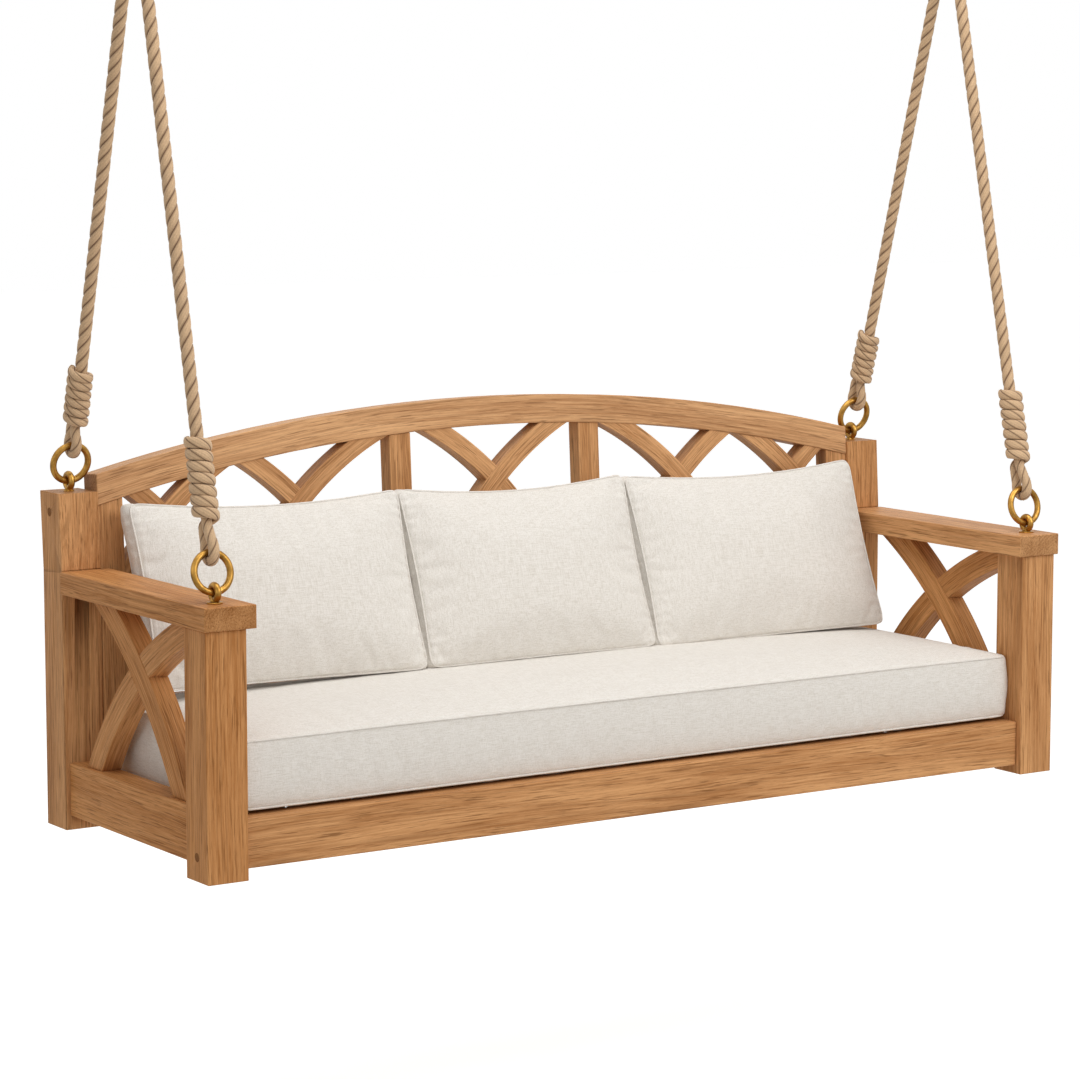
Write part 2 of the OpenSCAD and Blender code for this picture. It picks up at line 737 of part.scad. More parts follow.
// Each ring lies square to its heading; its width points away from the knot's axis.
function knot_ring(i) =
    let (places = [for (p = knot_line) p[0]],
        way = heading(places, i),
        place = places[i],
        in_turns = i > len(knot_line) - (turns - 0.4) * loop_rings,
        out = unit([place.x, place.y, 0] + (in_turns ? [0, 0, 0] : [0, 0.001, 0])),
        lift = unit(cross(way, in_turns ? out : [1, 0, 0])),
        wide = unit(cross(lift, way)),
        half = knot_line[i][1])
    [for (k = [0:5]) place + half[0] * cos(60 * k) * wide + half[1] * sin(60 * k) * lift];

// A tube through rings of points, as one closed skin of triangles.
module tube(rings) {
    n = len(rings[0]);
    last = len(rings) - 1;
    polyhedron([for (r = rings) each r], concat(
        [for (k = [0:last - 1], i = [0:n - 1]) let (j = (i + 1) % n)
            each [[k * n + i, (k + 1) * n + i, k * n + j], [k * n + j, (k + 1) * n + i, (k + 1) * n + j]]],
        [for (i = [1:n - 2]) [0, i, i + 1]],
        [for (i = [1:n - 2]) [last * n, last * n + i + 1, last * n + i]]), convexity = 10);
}

module knot(side, bear, angle) {
    rings = [for (i = [0:len(knot_line) - 1]) knot_ring(i)];
    gap = min([for (i = [0:len(rings) - 1], j = [i + loop_rings / 2:1:len(rings) - 1])
        min([for (p = rings[i], q = rings[j]) norm(p - q)])]);
    echo("least gap of the knot's rope to itself, mm", gap);
    color("tan") in_line(side, bear, angle, 2 * ring_r) tube(rings);
}

module knot_front_left() { knot(-1, front_bear, front_angle); }
module knot_front_right() { knot(1, front_bear, front_angle); }
module knot_back_left() { knot(-1, back_bear, back_angle); }
module knot_back_right() { knot(1, back_bear, back_angle); }

// ---- ropes ----

function fill(route, step) = [
    for (i = [0:len(route) - 2]) let (n = max(1, round(norm(route[i + 1] - route[i]) / step)))
        for (k = [0:n - 1]) mix(route[i], route[i + 1], k / n),
    route[len(route) - 1],
];

module rope(side) {
    line = [for (p = fill(rope_route, 2.7 * rope_d)) [0, p.x, p.y]];
    rings = [for (i = [0:len(line) - 1]) let (way = heading(line, i), lift = cross(way, [1, 0, 0]))
        [for (k = [0:cord_sides - 1]) let (a = 360 * k / cord_sides)
            line[i] + rope_d / 2 * (cos(a) * [1, 0, 0] + sin(a) * lift)]];
    color("tan") bed() translate([side * post_x, 0, 0]) tube(rings);
}

module rope_left() { rope(-1); }
module rope_right() { rope(1); }

// ---- what holds the ropes under the ceiling ----

module top_rings() {
    color("goldenrod") bed() both_sides() translate([0, saddle.x, saddle.y + top_ring_r]) ring(top_ring_d, top_bar);
}

ferrule_z = 1846;
ferrule_h = 30;
ferrule_t = 3;

// A pressed sleeve that holds a rope's two sides together under its ring.
module ferrules() {
    module oval(r) {
        for (side = [-1, 1]) translate([0, side * rope_d / 2]) circle(r);
        square([2 * r, rope_d], center = true);
    }
    color("goldenrod") bed() both_sides() translate([0, saddle.x, ferrule_z]) linear_extrude(ferrule_h)
        difference() {
            oval(rope_d / 2 + ferrule_t);
            oval(rope_d / 2 + 0.2);
        }
}

module links() {
    end_r = link_hole_r + 8;
    color("dimgray") bed() both_sides() translate([-link_t / 2, saddle.x, pin_z]) rotate([90, 0, 90])
        difference() {
            linear_extrude(link_t) {
                circle(end_r);
                translate([0, -link_l]) circle(end_r);
                translate([-end_r, -link_l]) square([2 * end_r, link_l]);
            }
            translate([0, 0, -1]) cylinder(h = link_t + 2, d = pin_d + 2 * pin_clear);
            translate([0, -link_l, -1]) cylinder(h = link_t + 2, r = link_hole_r);
        }
}

cheek_gap = link_t + 2;
cheek_w = 40;

// A plate against the ceiling with two cheeks that carry the pin.
module hangers() {
    plate_l = screw_gap + 3 * screw_d;
    plate_w = cheek_gap + 2 * plate_t + 12;
    color("dimgray") both_sides() {
        difference() {
            translate([-plate_w / 2, -plate_l / 2, -plate_t]) cube([plate_w, plate_l, plate_t]);
            for (y = [-1, 1]) translate([0, y * screw_gap / 2, -plate_t - 1]) cylinder(h = plate_t + 2, d = screw_d);
        }
        for (way = [-1, 1]) translate([way * (cheek_gap + plate_t) / 2 - plate_t / 2, 0, -pin_drop])
            rotate([90, 0, 90]) difference() {
                linear_extrude(plate_t) {
                    circle(cheek_w / 2);
                    translate([-cheek_w / 2, 0]) square([cheek_w, pin_drop - plate_t + 1]);
                }
                translate([0, 0, -1]) cylinder(h = plate_t + 2, d = pin_d);
            }
    }
}

// Each pin is a bolt through the two cheeks, with a nut at its inner end.
module hanger_pins() {
    grip = cheek_gap + 2 * plate_t;
    color("silver") for (side = [0, 1]) mirror([side, 0, 0]) translate([post_x, 0, -pin_drop]) {
        along_x(pin_d, grip);
        translate([grip / 2, 0, 0]) rotate([0, 90, 0]) cylinder(h = 0.6 * pin_d, d = 1.9 * pin_d, $fn = 6);
        translate([-grip / 2 - 0.8 * pin_d, 0, 0]) rotate([0, 90, 0]) cylinder(h = 0.8 * pin_d, d = 1.9 * pin_d, $fn = 6);
    }
}

post_front_left();
post_front_right();
post_back_left();
post_back_right();
front_rail();
back_rail();
side_rail_left();
side_rail_right();
arm_left();
arm_right();
arm_brace_rising_left();
arm_brace_falling_left();
arm_brace_rising_right();
arm_brace_falling_right();
arch_rail();
low_rail();
mid_rails();
stile_left();
stile_right();
back_slat_left();
back_slat_right();
cross_outer_left_rising();
cross_outer_left_falling();
cross_inner_left_rising();
cross_inner_left_falling();
cross_middle_rising();
cross_middle_falling();
cross_inner_right_rising();
cross_inner_right_falling();
cross_outer_right_rising();
cross_outer_right_falling();
seat_slats();
ledgers();
joists();
dowels();
plugs();
barrel_nuts();
seat_cushion();
back_cushion_left();
back_cushion_middle();
back_cushion_right();
eye_bolt_front_left();
eye_bolt_front_right();
eye_bolt_back_left();
eye_bolt_back_right();
ring_front_left();
ring_front_right();
ring_back_left();
ring_back_right();
knot_front_left();
knot_front_right();
knot_back_left();
knot_back_right();
rope_left();
rope_right();
top_rings();
ferrules();
links();
hangers();
hanger_pins();
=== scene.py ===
import math
import random

import bmesh
import bpy
import numpy as np
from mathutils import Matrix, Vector
from mathutils.bvhtree import BVHTree


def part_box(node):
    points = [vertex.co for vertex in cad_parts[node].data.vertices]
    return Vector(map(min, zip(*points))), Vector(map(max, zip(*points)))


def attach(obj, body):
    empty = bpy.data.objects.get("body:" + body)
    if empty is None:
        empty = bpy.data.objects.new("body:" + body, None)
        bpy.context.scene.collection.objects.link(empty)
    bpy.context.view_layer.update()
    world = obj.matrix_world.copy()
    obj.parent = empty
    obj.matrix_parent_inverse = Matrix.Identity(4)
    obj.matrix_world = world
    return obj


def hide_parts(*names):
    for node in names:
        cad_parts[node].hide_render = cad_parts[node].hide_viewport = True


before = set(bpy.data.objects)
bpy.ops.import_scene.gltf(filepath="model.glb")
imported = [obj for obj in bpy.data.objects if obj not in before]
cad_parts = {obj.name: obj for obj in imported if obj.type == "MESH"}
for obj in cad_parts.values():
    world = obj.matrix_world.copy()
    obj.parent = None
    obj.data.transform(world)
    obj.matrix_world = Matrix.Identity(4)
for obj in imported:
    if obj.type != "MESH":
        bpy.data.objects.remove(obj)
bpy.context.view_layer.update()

# ---- The view ----
# The bed is seen from its front left, a little above its arms, through a long lens.
# Every size below is in millimetres from the bed's origin, which lies midway between
# the front posts, in the plane of their front faces and level with their feet.

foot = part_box("post_front_left")[0]
BED = Vector((0, foot.y, foot.z))


def bed(x, y, z):
    """A place on the bed in millimetres, as a point of the frame."""
    return BED + Vector((x, y, z)) / 1000


TILT_DOWN, TURN = 0.1236, -0.582
camera = bpy.data.objects.new("camera", bpy.data.cameras.new("camera"))
bpy.context.scene.collection.objects.link(camera)
camera.data.sensor_width = 36
camera.data.lens = 115.76
camera.data.clip_end = 60
camera.location = bed(-4051.4, -5697.8, 1454.3)
camera.rotation_euler = (math.pi / 2 - TILT_DOWN, 0, TURN)
bpy.context.scene.camera = camera

# ---- The ropes ----
# Each side hangs on one length of three-strand rope of spun polypropylene, hemp
# coloured, laid right-handed. It passes over a ring under the ceiling and is knotted
# to the rings on the front and the back post.

SIDES = ((-1, "left"), (1, "right"))
ENDS = ((0, "front"), (-1, "back"))
ROPE_D = 26
# How far along the rope a strand takes to go round it once, hanging and knotted
LAY, KNOT_LAY = 90, 80
POST_X = 1006
# From the front ring over the upper ring to the back ring: places behind the front
# posts' faces and above their feet
ROUTE = [
    (79, 711.5), (317, 1806), (320, 1824), (322, 1842), (322, 1878),
    (316, 1898), (315, 1910), (318, 1920), (325, 1927), (335, 1930),
    (345, 1927), (352, 1920), (355, 1910), (354, 1898),
    (348, 1878), (348, 1842), (350, 1824), (353, 1806), (620.5, 865),
]
# What the rope leads to from each ring
AIMS = {"front": ROUTE[1], "back": ROUTE[-2]}


def distances(line):
    """How far along a line each of its points lies."""
    return np.concatenate([[0], np.cumsum(np.linalg.norm(np.diff(line, axis=0), axis=1))])


def evenly(points, step, also=()):
    """The points of a line at even distances along it, and the values that go with them."""
    points = np.array(points, float)
    run = distances(points)
    at = np.linspace(0, run[-1], max(2, int(round(run[-1] / step)) + 1))
    return [np.stack([np.interp(at, run, column) for column in np.array(values, float).T], 1)
            for values in (points, *also)]


def smoothed(values, width):
    """A run of values averaged over a few neighbours, with both ends kept."""
    padded = np.concatenate([[2 * values[0] - values[i] for i in range(width, 0, -1)], values,
                             [2 * values[-1] - values[-1 - i] for i in range(1, width + 1)]])
    kernel = np.ones(2 * width + 1) / (2 * width + 1)
    return np.stack([np.convolve(column, kernel, "valid") for column in padded.T], 1)


def headings(line):
    """The direction of a line at each of its points."""
    way = np.gradient(line, axis=0)
    return way / np.linalg.norm(way, axis=1)[:, None]


def finished(mesh, name):
    """The mesh as an object of the scene, with its faces turned outward."""
    bmesh.ops.recalc_face_normals(mesh, faces=mesh.faces)
    data = bpy.data.meshes.new(name)
    mesh.to_mesh(data)
    mesh.free()
    piece = bpy.data.objects.new(name, data)
    bpy.context.scene.collection.objects.link(piece)
    return piece


STRANDS = 3
UV_RUN = 100


def laid_rope(name, line, out, half_out, half_side, lay, groove=0.2, sharp=2.2, square=2.0,
              sides=36):
    """Three strands laid hard round a line in millimetres, as one skin with a groove
    between each two, narrower where sharp is higher. The halves are the rope's size along
    out and square to it; square is 2 for a round rope and more for one pressed flat."""
    side = np.cross(headings(line), out)
    run = distances(line)
    mesh = bmesh.new()
    lay_map = mesh.loops.layers.uv.new("lay")
    # how deep in a groove between strands each point lies, which the rope's material paints as
    # shade
    deep = mesh.verts.layers.float.new("deep")
    columns = []
    for j in range(sides):
        a = 2 * math.pi * (j / sides + run / lay)
        valley = (1 - abs(math.cos(STRANDS * math.pi * j / sides))) ** sharp
        reach = (np.abs(np.cos(a)) ** square + np.abs(np.sin(a)) ** square) ** (-1 / square)
        reach *= 1 - groove * valley
        places = (line + out * (half_out * reach * np.cos(a))[:, None]
                  + side * (half_side * reach * np.sin(a))[:, None])
        column = [mesh.verts.new(tuple(BED + Vector(p) / 1000)) for p in places]
        for vert in column:
            vert[deep] = valley
        columns.append(column)
    for j in range(sides):
        a, b = columns[j], columns[(j + 1) % sides]
        for i in range(len(a) - 1):
            face = mesh.faces.new((a[i], a[i + 1], b[i + 1], b[i]))
            face.smooth = True
            corners = ((j, i), (j, i + 1), (j + 1, i + 1), (j + 1, i))
            for loop, (x, y) in zip(face.loops, corners):
                loop[lay_map].uv = (x / sides, run[y] / UV_RUN)
    for end in (0, -1):
        cap = [column[end] for column in columns]
        mesh.faces.new(cap if end else cap[::-1])
    return finished(mesh, name)


def linear(code):
    """A colour in sRGB hex, as linear numbers."""
    parts = [int(code[i:i + 2], 16) / 255 for i in (1, 3, 5)]
    return (*[c / 12.92 if c < 0.04045 else ((c + 0.055) / 1.055) ** 2.4 for c in parts], 1)


def add(tree, kind, values=None, links=None, **settings):
    """Adds a node with its settings, its sockets' values and what is linked into them: a
    node for its first output, or a node and the name of another."""
    node = tree.nodes.new("ShaderNode" + kind)
    for key, value in settings.items():
        setattr(node, key, value)
    for socket, value in (values or {}).items():
        node.inputs[socket].default_value = value
    for socket, source in (links or {}).items():
        source, output = source if isinstance(source, tuple) else (source, 0)
        tree.links.new(source.outputs[output], node.inputs[socket])
    return node


def surface(name):
    """A new material with its tree and its shader."""
    material = bpy.data.materials.new(name)
    material.use_nodes = True
    return material, material.node_tree, material.node_tree.nodes["Principled BSDF"]


# Spun polypropylene rope: matt, soft fibres that show as fine streaks along each
# strand's yarns, and painted shade, darker where the strands meet and between the
# yarns. The fibres are hair thin and drawn 2 mm wide so that they show; the rope's
# tone drifts every 45 mm.
hemp_rope, tree, shader = surface("spun polypropylene rope")
lay_map = add(tree, "UVMap", uv_map="lay")
YARNS, YARN_TWIST = 12, 2.4
yarn_way = add(tree, "Mapping", {"Scale": (YARNS, YARN_TWIST, 1)}, {"Vector": lay_map})
yarn_parts = add(tree, "SeparateXYZ", links={"Vector": yarn_way})
yarn_sum = add(tree, "Math", links={0: (yarn_parts, "X"), 1: (yarn_parts, "Y")}, operation="ADD")
yarn_angle = add(tree, "Math", {1: 2 * math.pi}, {0: yarn_sum}, operation="MULTIPLY")
yarns = add(tree, "Math", links={0: yarn_angle}, operation="SINE")
place = add(tree, "TexCoord")
fibres = add(tree, "TexNoise", {"Scale": 420, "Detail": 3, "Roughness": 0.7},
             {"Vector": (place, "Object")})
patches = add(tree, "TexNoise", {"Scale": 22, "Detail": 2}, {"Vector": (place, "Object")})
# painted shade: the colour darkens from the ramp's light end to its dark end with the groove's
# depth between the strands
depth = add(tree, "Attribute", attribute_name="deep")
tone = add(tree, "ValToRGB", links={"Fac": (depth, "Fac")})
tone.color_ramp.elements[0].position = 0.1
tone.color_ramp.elements[0].color = linear("#CEAC86")
tone.color_ramp.elements[1].color = linear("#674830")
streak = add(tree, "MapRange", {"From Min": 0.3, "From Max": 0.7, "To Min": 0.86, "To Max": 1.12},
             {"Value": fibres})
# painted shade: the colour is darker where the yarn pattern, which also drives the bump, is low
yarn_shade = add(tree, "MapRange", {"From Min": -1, "From Max": 1, "To Min": 0.93, "To Max": 1.03},
            {"Value": yarns})
drift = add(tree, "MapRange", {"From Min": 0.3, "From Max": 0.7, "To Min": 0.94, "To Max": 1.05},
            {"Value": patches})
shade = add(tree, "Math", links={0: streak, 1: yarn_shade}, operation="MULTIPLY")
shade = add(tree, "Math", links={0: shade, 1: drift}, operation="MULTIPLY")
colour = add(tree, "VectorMath", links={0: tone}, operation="SCALE")
tree.links.new(shade.outputs[0], colour.inputs["Scale"])
tree.links.new(colour.outputs["Vector"], shader.inputs["Base Color"])
relief = add(tree, "Math", {1: 0.6}, {0: yarns, 2: fibres}, operation="MULTIPLY_ADD")
bump = add(tree, "Bump", {"Strength": 0.55, "Distance": 0.0007}, {"Height": relief})
tree.links.new(bump.outputs["Normal"], shader.inputs["Normal"])
shader.inputs["Roughness"].default_value = 0.86
shader.inputs["IOR"].default_value = 1.49
shader.inputs["Sheen Weight"].default_value = 0.15
shader.inputs["Sheen Roughness"].default_value = 0.5

# Each knot is the rope's own end: it goes down through the ring as a loop, up again,
# and is bound round the rope, seven times in front and six at the back. Pulled
# tight, the turns lie pressed on each other and hide the end under the last one.

RING_R = 38.25
LOOP_R = 17.05
LEG_FOOT, LEG_TOP = 14, 70
LEG_HALF = (10.4, 10.4)
TURN_R = 20.1
TURN_STEPS = 36
# Half of a pressed turn's thickness, and half its width as a share of the pitch
TURN_HALF, TURN_SHARE = 6.9, 0.486
# How many turns, their pitch, and the height of the first over the ring's bar
TURNS = {"front": (7, 22, 61), "back": (6, 18.8, 47)}


def knot_line(turns, pitch, first_turn, wobble):
    """The knot's line in its own frame, with its half widths: from inside the turns down
    to the ring's bar, round it, up again and round in turns to the rope's end. wobble
    sets how unevenly they lie, so that no two knots are alike."""
    places = [(0, 0, 89), (0, 0, 74), (-1.5, -3.5, 58), (-2.5, -9, 43), (-2, -13.5, 28),
              (0, -LOOP_R, LEG_FOOT)]
    sizes = [(10, 10)] * len(places)
    for degrees in range(0, 181, 20):
        a = math.radians(degrees)
        places.append((0, -LOOP_R * math.cos(a), -LOOP_R * math.sin(a)))
        sizes.append(LEG_HALF)
    places += [(1.5, 17.4, LEG_FOOT), (2.5, 17.8, 28), (2, 18.6, 42), (1.5, 19.4, 54),
               (4.5, 20, 63)]
    sizes += [LEG_HALF, LEG_HALF, (10, 10.2), (9, 10), (7.6, 10.2)]
    # the legs are drawn for a first turn at their top, and shortened to where it is
    short = (first_turn - LEG_FOOT) / (LEG_TOP - LEG_FOOT)
    places[1:] = [(x, y, z if z < LEG_FOOT else LEG_FOOT + (z - LEG_FOOT) * short)
                  for x, y, z in places[1:]]
    for i in range(TURN_STEPS // 4, turns * TURN_STEPS - 2):
        t = 2 * math.pi * i / TURN_STEPS
        swell = 0.35 * math.sin(t * 0.37 + wobble) + 0.3 * math.sin(t * 0.83 + 2 * wobble)
        r = TURN_R + 0.5 * swell
        up = first_turn + pitch * i / TURN_STEPS + swell
        places.append((r * math.sin(t), r * math.cos(t), up))
        sizes.append((TURN_HALF, TURN_SHARE * pitch))
    return places, sizes


KNOT_STEP, ROPE_STEP = 3.2, 5
ride_on = "swing_bed"
knots = {}
for side, side_name in SIDES:
    for end, end_name in ENDS:
        low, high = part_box(f"ring_{end_name}_{side_name}")
        ring_middle = ((low + high) / 2 - BED) * 1000
        aim_y, aim_z = AIMS[end_name]
        up_line = Vector((0, aim_y - ring_middle.y, aim_z - ring_middle.z)).normalized()
        back_line = Vector((0, up_line.z, -up_line.y))
        origin = ring_middle + up_line * RING_R
        places, sizes = knot_line(*TURNS[end_name], 0.7 * side + 1.9 * end)
        dense, widths = evenly(places, KNOT_STEP, [sizes])
        dense = smoothed(dense, 2)
        radial = dense * (1, 1, 0)
        radial /= np.maximum(np.linalg.norm(radial, axis=1)[:, None], 1e-6)
        # the pressed rope's flat side turns from the loop's plane to the knot's middle
        in_turns = np.clip((np.arange(len(dense)) / len(dense) - 0.16) / 0.06, 0, 1)[:, None]
        out = in_turns * radial + (1 - in_turns) * np.array([0.02, 1, 0])
        axes = np.array([(1, 0, 0), tuple(back_line), tuple(up_line)])
        line = dense @ axes + np.array(origin)
        out = out @ axes
        way = headings(line)
        out -= way * np.sum(out * way, 1)[:, None]
        out /= np.linalg.norm(out, axis=1)[:, None]
        node = f"knot_{end_name}_{side_name}"
        knot = laid_rope(f"{node}_laid", line, out, *widths.T, KNOT_LAY, groove=0.09,
                         sharp=3.4, square=2.3)
        knot.data.materials.append(hemp_rope)
        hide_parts(node)
        knots[node] = knot

for side, side_name in SIDES:
    run, = evenly([(side * POST_X, y, z) for y, z in ROUTE], ROPE_STEP)
    round_half = np.full(len(run), ROPE_D / 2)
    rope = laid_rope(f"rope_{side_name}_laid", smoothed(run, 2),
                     np.tile((1.0, 0, 0), (len(run), 1)), round_half, round_half, LAY)
    rope.data.materials.append(hemp_rope)
    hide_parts(f"rope_{side_name}")
    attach(rope, ride_on)
    ends = [knots[f"knot_front_{side_name}"], knots[f"knot_back_{side_name}"]]
    for knot in ends:
        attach(knot, ride_on)

# ---- Rings and eye bolts ----
# Welded rings bent from round bar hang in forged eye bolts, which go down through the
# arms and the front posts, and into the back posts, to barrel nuts. All are brass,
# darkened in a bath and rubbed back, so the bare metal shows on what is touched.

antique_brass, tree, shader = surface("antiqued brass")
place = add(tree, "TexCoord")
# clouds of the bath 18 mm across, and hammered dents of 4 mm
clouds = add(tree, "TexNoise", {"Scale": 55, "Detail": 4, "Roughness": 0.6},
             {"Vector": (place, "Object")})
rubbed = add(tree, "NewGeometry")
edge = add(tree, "MapRange", {"From Min": 0.46, "From Max": 0.56, "To Min": -0.15, "To Max": 0.25},
           {"Value": (rubbed, "Pointiness")})
wear = add(tree, "Math", links={0: clouds, 1: edge}, operation="ADD")
tone = add(tree, "ValToRGB", links={"Fac": wear})
tone.color_ramp.elements[0].position = 0.35
tone.color_ramp.elements[0].color = linear("#7C5824")
tone.color_ramp.elements[1].position = 0.68
tone.color_ramp.elements[1].color = linear("#B98C45")
tree.links.new(tone.outputs["Color"], shader.inputs["Base Color"])
gloss = add(tree, "MapRange", {"From Min": 0.3, "From Max": 0.75, "To Min": 0.44, "To Max": 0.26},
            {"Value": clouds})
tree.links.new(gloss.outputs["Result"], shader.inputs["Roughness"])
hammer = add(tree, "TexNoise", {"Scale": 260, "Detail": 2}, {"Vector": (place, "Object")})
bump = add(tree, "Bump", {"Strength": 0.15, "Distance": 0.0004}, {"Height": hammer})
tree.links.new(bump.outputs["Normal"], shader.inputs["Normal"])
shader.inputs["Metallic"].default_value = 1


def turned(mesh, profile, place, sides=48):
    """Revolves a profile of radii and heights round the upright through place."""
    angles = [2 * math.pi * k / sides for k in range(sides)]
    rings = [[mesh.verts.new(place + Vector((r * math.cos(a), r * math.sin(a), z)))
              for a in angles] for r, z in profile]
    for a, b in zip(rings, rings[1:]):
        for k in range(sides):
            mesh.faces.new((a[k], a[(k + 1) % sides], b[(k + 1) % sides], b[k])).smooth = True
    mesh.faces.new(rings[0][::-1])
    mesh.faces.new(rings[-1])


def bent_bar(mesh, middle, one, two, reach, bar, steps=96, sides=24):
    """A round bar bent to a closed ring in the plane of two directions."""
    across = one.cross(two)
    angles = [2 * math.pi * k / sides for k in range(sides)]
    rings = []
    for i in range(steps):
        a = 2 * math.pi * i / steps
        away = one * math.cos(a) + two * math.sin(a)
        rings.append([mesh.verts.new(middle + away * reach + (away * math.cos(b)
                                     + across * math.sin(b)) * bar) for b in angles])
    for i in range(steps):
        a, b = rings[i], rings[(i + 1) % steps]
        for k in range(sides):
            mesh.faces.new((a[k], b[k], b[(k + 1) % sides], a[(k + 1) % sides])).smooth = True


def piece_of(mesh, name, material, node, body=ride_on, sharp=40):
    """Makes the piece that stands for a node from a mesh in the frame's metres."""
    piece = finished(mesh, name)
    piece.data.set_sharp_from_angle(angle=math.radians(sharp))
    piece.data.materials.append(material)
    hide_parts(node)
    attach(piece, body)
    return piece


RING_BAR = 6.75
EYE_BAR = 6.6
EYE_REACH = 13.9
# The eye's middle and the solid's top over the bolt's shoulder
EYE_UP, EYE_TOP = 20.7, 39
SHANK_R = 6
# Radii and heights over the shoulder: a wide flange in front, a small collar at the back
COLLARS = {
    "front": [(15.6, 0), (16, 0.5), (16, 2.3), (15.4, 3), (10.8, 3.1), (9.2, 4.4), (8.4, 7)],
    "back": [(11.4, 0), (11.6, 0.8), (10.2, 2.4), (8.2, 5)],
}
NECK = [(7.2, 9.5), (5.2, 11)]
for side, side_name in SIDES:
    for end, end_name in ENDS:
        ring = f"ring_{end_name}_{side_name}"
        low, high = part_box(ring)
        middle = (low + high) / 2
        aim = bed(side * POST_X, *AIMS[end_name])
        mesh = bmesh.new()
        bent_bar(mesh, middle, Vector((1, 0, 0)), (aim - middle).normalized(),
                 RING_R / 1000, RING_BAR / 1000)
        piece_of(mesh, f"{ring}_bar", antique_brass, ring)
        eye_bolt = f"eye_bolt_{end_name}_{side_name}"
        low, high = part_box(eye_bolt)
        shoulder = Vector(((low.x + high.x) / 2, (low.y + high.y) / 2, high.z - EYE_TOP / 1000))
        mesh = bmesh.new()
        bent_bar(mesh, shoulder + Vector((0, 0, EYE_UP / 1000)), Vector((0, 1, 0)),
                 Vector((0, 0, 1)), EYE_REACH / 1000, EYE_BAR / 1000)
        shank = [(SHANK_R, (low.z - shoulder.z) * 1000), (SHANK_R, 0)]
        turned(mesh, [(r / 1000, z / 1000) for r, z in shank + COLLARS[end_name] + NECK], shoulder)
        piece_of(mesh, f"{eye_bolt}_forged", antique_brass, eye_bolt)

# ---- What holds the ropes under the ceiling ----
# Over each side a pressed brass sleeve gathers the rope under a welded ring. The ring
# hangs in a steel link on a bolt between the cheeks of a plate, which takes two screws
# into the ceiling. Sleeves and rings are brass, links, plates and bolts zinc plated.

zinc_steel, tree, shader = surface("zinc plated steel")
place = add(tree, "TexCoord")
# grey zinc with a spangle of 6 mm under clouds of 33 mm
spangle = add(tree, "TexVoronoi", {"Scale": 160}, {"Vector": (place, "Object")})
cloud = add(tree, "TexNoise", {"Scale": 30, "Detail": 3}, {"Vector": (place, "Object")})
mixed = add(tree, "Math", {1: 0.35}, {0: spangle, 2: cloud}, operation="MULTIPLY_ADD")
tone = add(tree, "ValToRGB", links={"Fac": mixed})
tone.color_ramp.elements[0].color = linear("#83868A")
tone.color_ramp.elements[1].color = linear("#B9BCBE")
tree.links.new(tone.outputs["Color"], shader.inputs["Base Color"])
gloss = add(tree, "MapRange", {"From Min": 0.3, "From Max": 0.8, "To Min": 0.3, "To Max": 0.48},
            {"Value": mixed})
tree.links.new(gloss.outputs["Result"], shader.inputs["Roughness"])
shader.inputs["Metallic"].default_value = 1


def shape_of(node):
    """The node's own solid as a clean mesh: one face to each flat side."""
    mesh = bmesh.new()
    mesh.from_mesh(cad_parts[node].data)
    bmesh.ops.remove_doubles(mesh, verts=mesh.verts, dist=2e-5)
    bmesh.ops.dissolve_limit(mesh, angle_limit=math.radians(0.4), verts=mesh.verts,
                             edges=mesh.edges)
    for face in mesh.faces:
        face.smooth = True
    return mesh


def ease(piece, width, segments=2):
    """Rounds a piece's edges by a few tenths of a millimetre to a few millimetres."""
    bevel = piece.modifiers.new("eased edges", "BEVEL")
    bevel.width = width
    bevel.segments = segments
    bevel.limit_method = "ANGLE"
    bevel.angle_limit = math.radians(35)
    bevel.harden_normals = True
    return piece


for node, body in (("links", ride_on), ("hangers", "ceiling_hangers"),
                   ("hanger_pins", "ceiling_hangers")):
    ease(piece_of(shape_of(node), f"{node}_steel", zinc_steel, node, body, 30), 0.0006)
ease(piece_of(shape_of("ferrules"), "ferrules_brass", antique_brass, "ferrules",
              sharp=30), 0.0008)
TOP_RING_R, TOP_RING_BAR = 28, 7
low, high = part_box("top_rings")
mesh = bmesh.new()
for side, side_name in SIDES:
    bent_bar(mesh, Vector((side * POST_X / 1000, (low.y + high.y) / 2, (low.z + high.z) / 2)),
             Vector((1, 0, 0)), Vector((0, 0, 1)), TOP_RING_R / 1000, TOP_RING_BAR / 1000)
piece_of(mesh, "top_rings_bar", antique_brass, "top_rings")
ease(piece_of(shape_of("barrel_nuts"), "barrel_nuts_steel", zinc_steel, "barrel_nuts",
              sharp=30), 0.0004)

# ---- Timber ----
# Posts, rails, arms and the back are solid teak, planed, sanded and oiled, joined with
# mortises and dowels. Every edge is eased by hand with a fine radius.

RING_GAP = 0.007


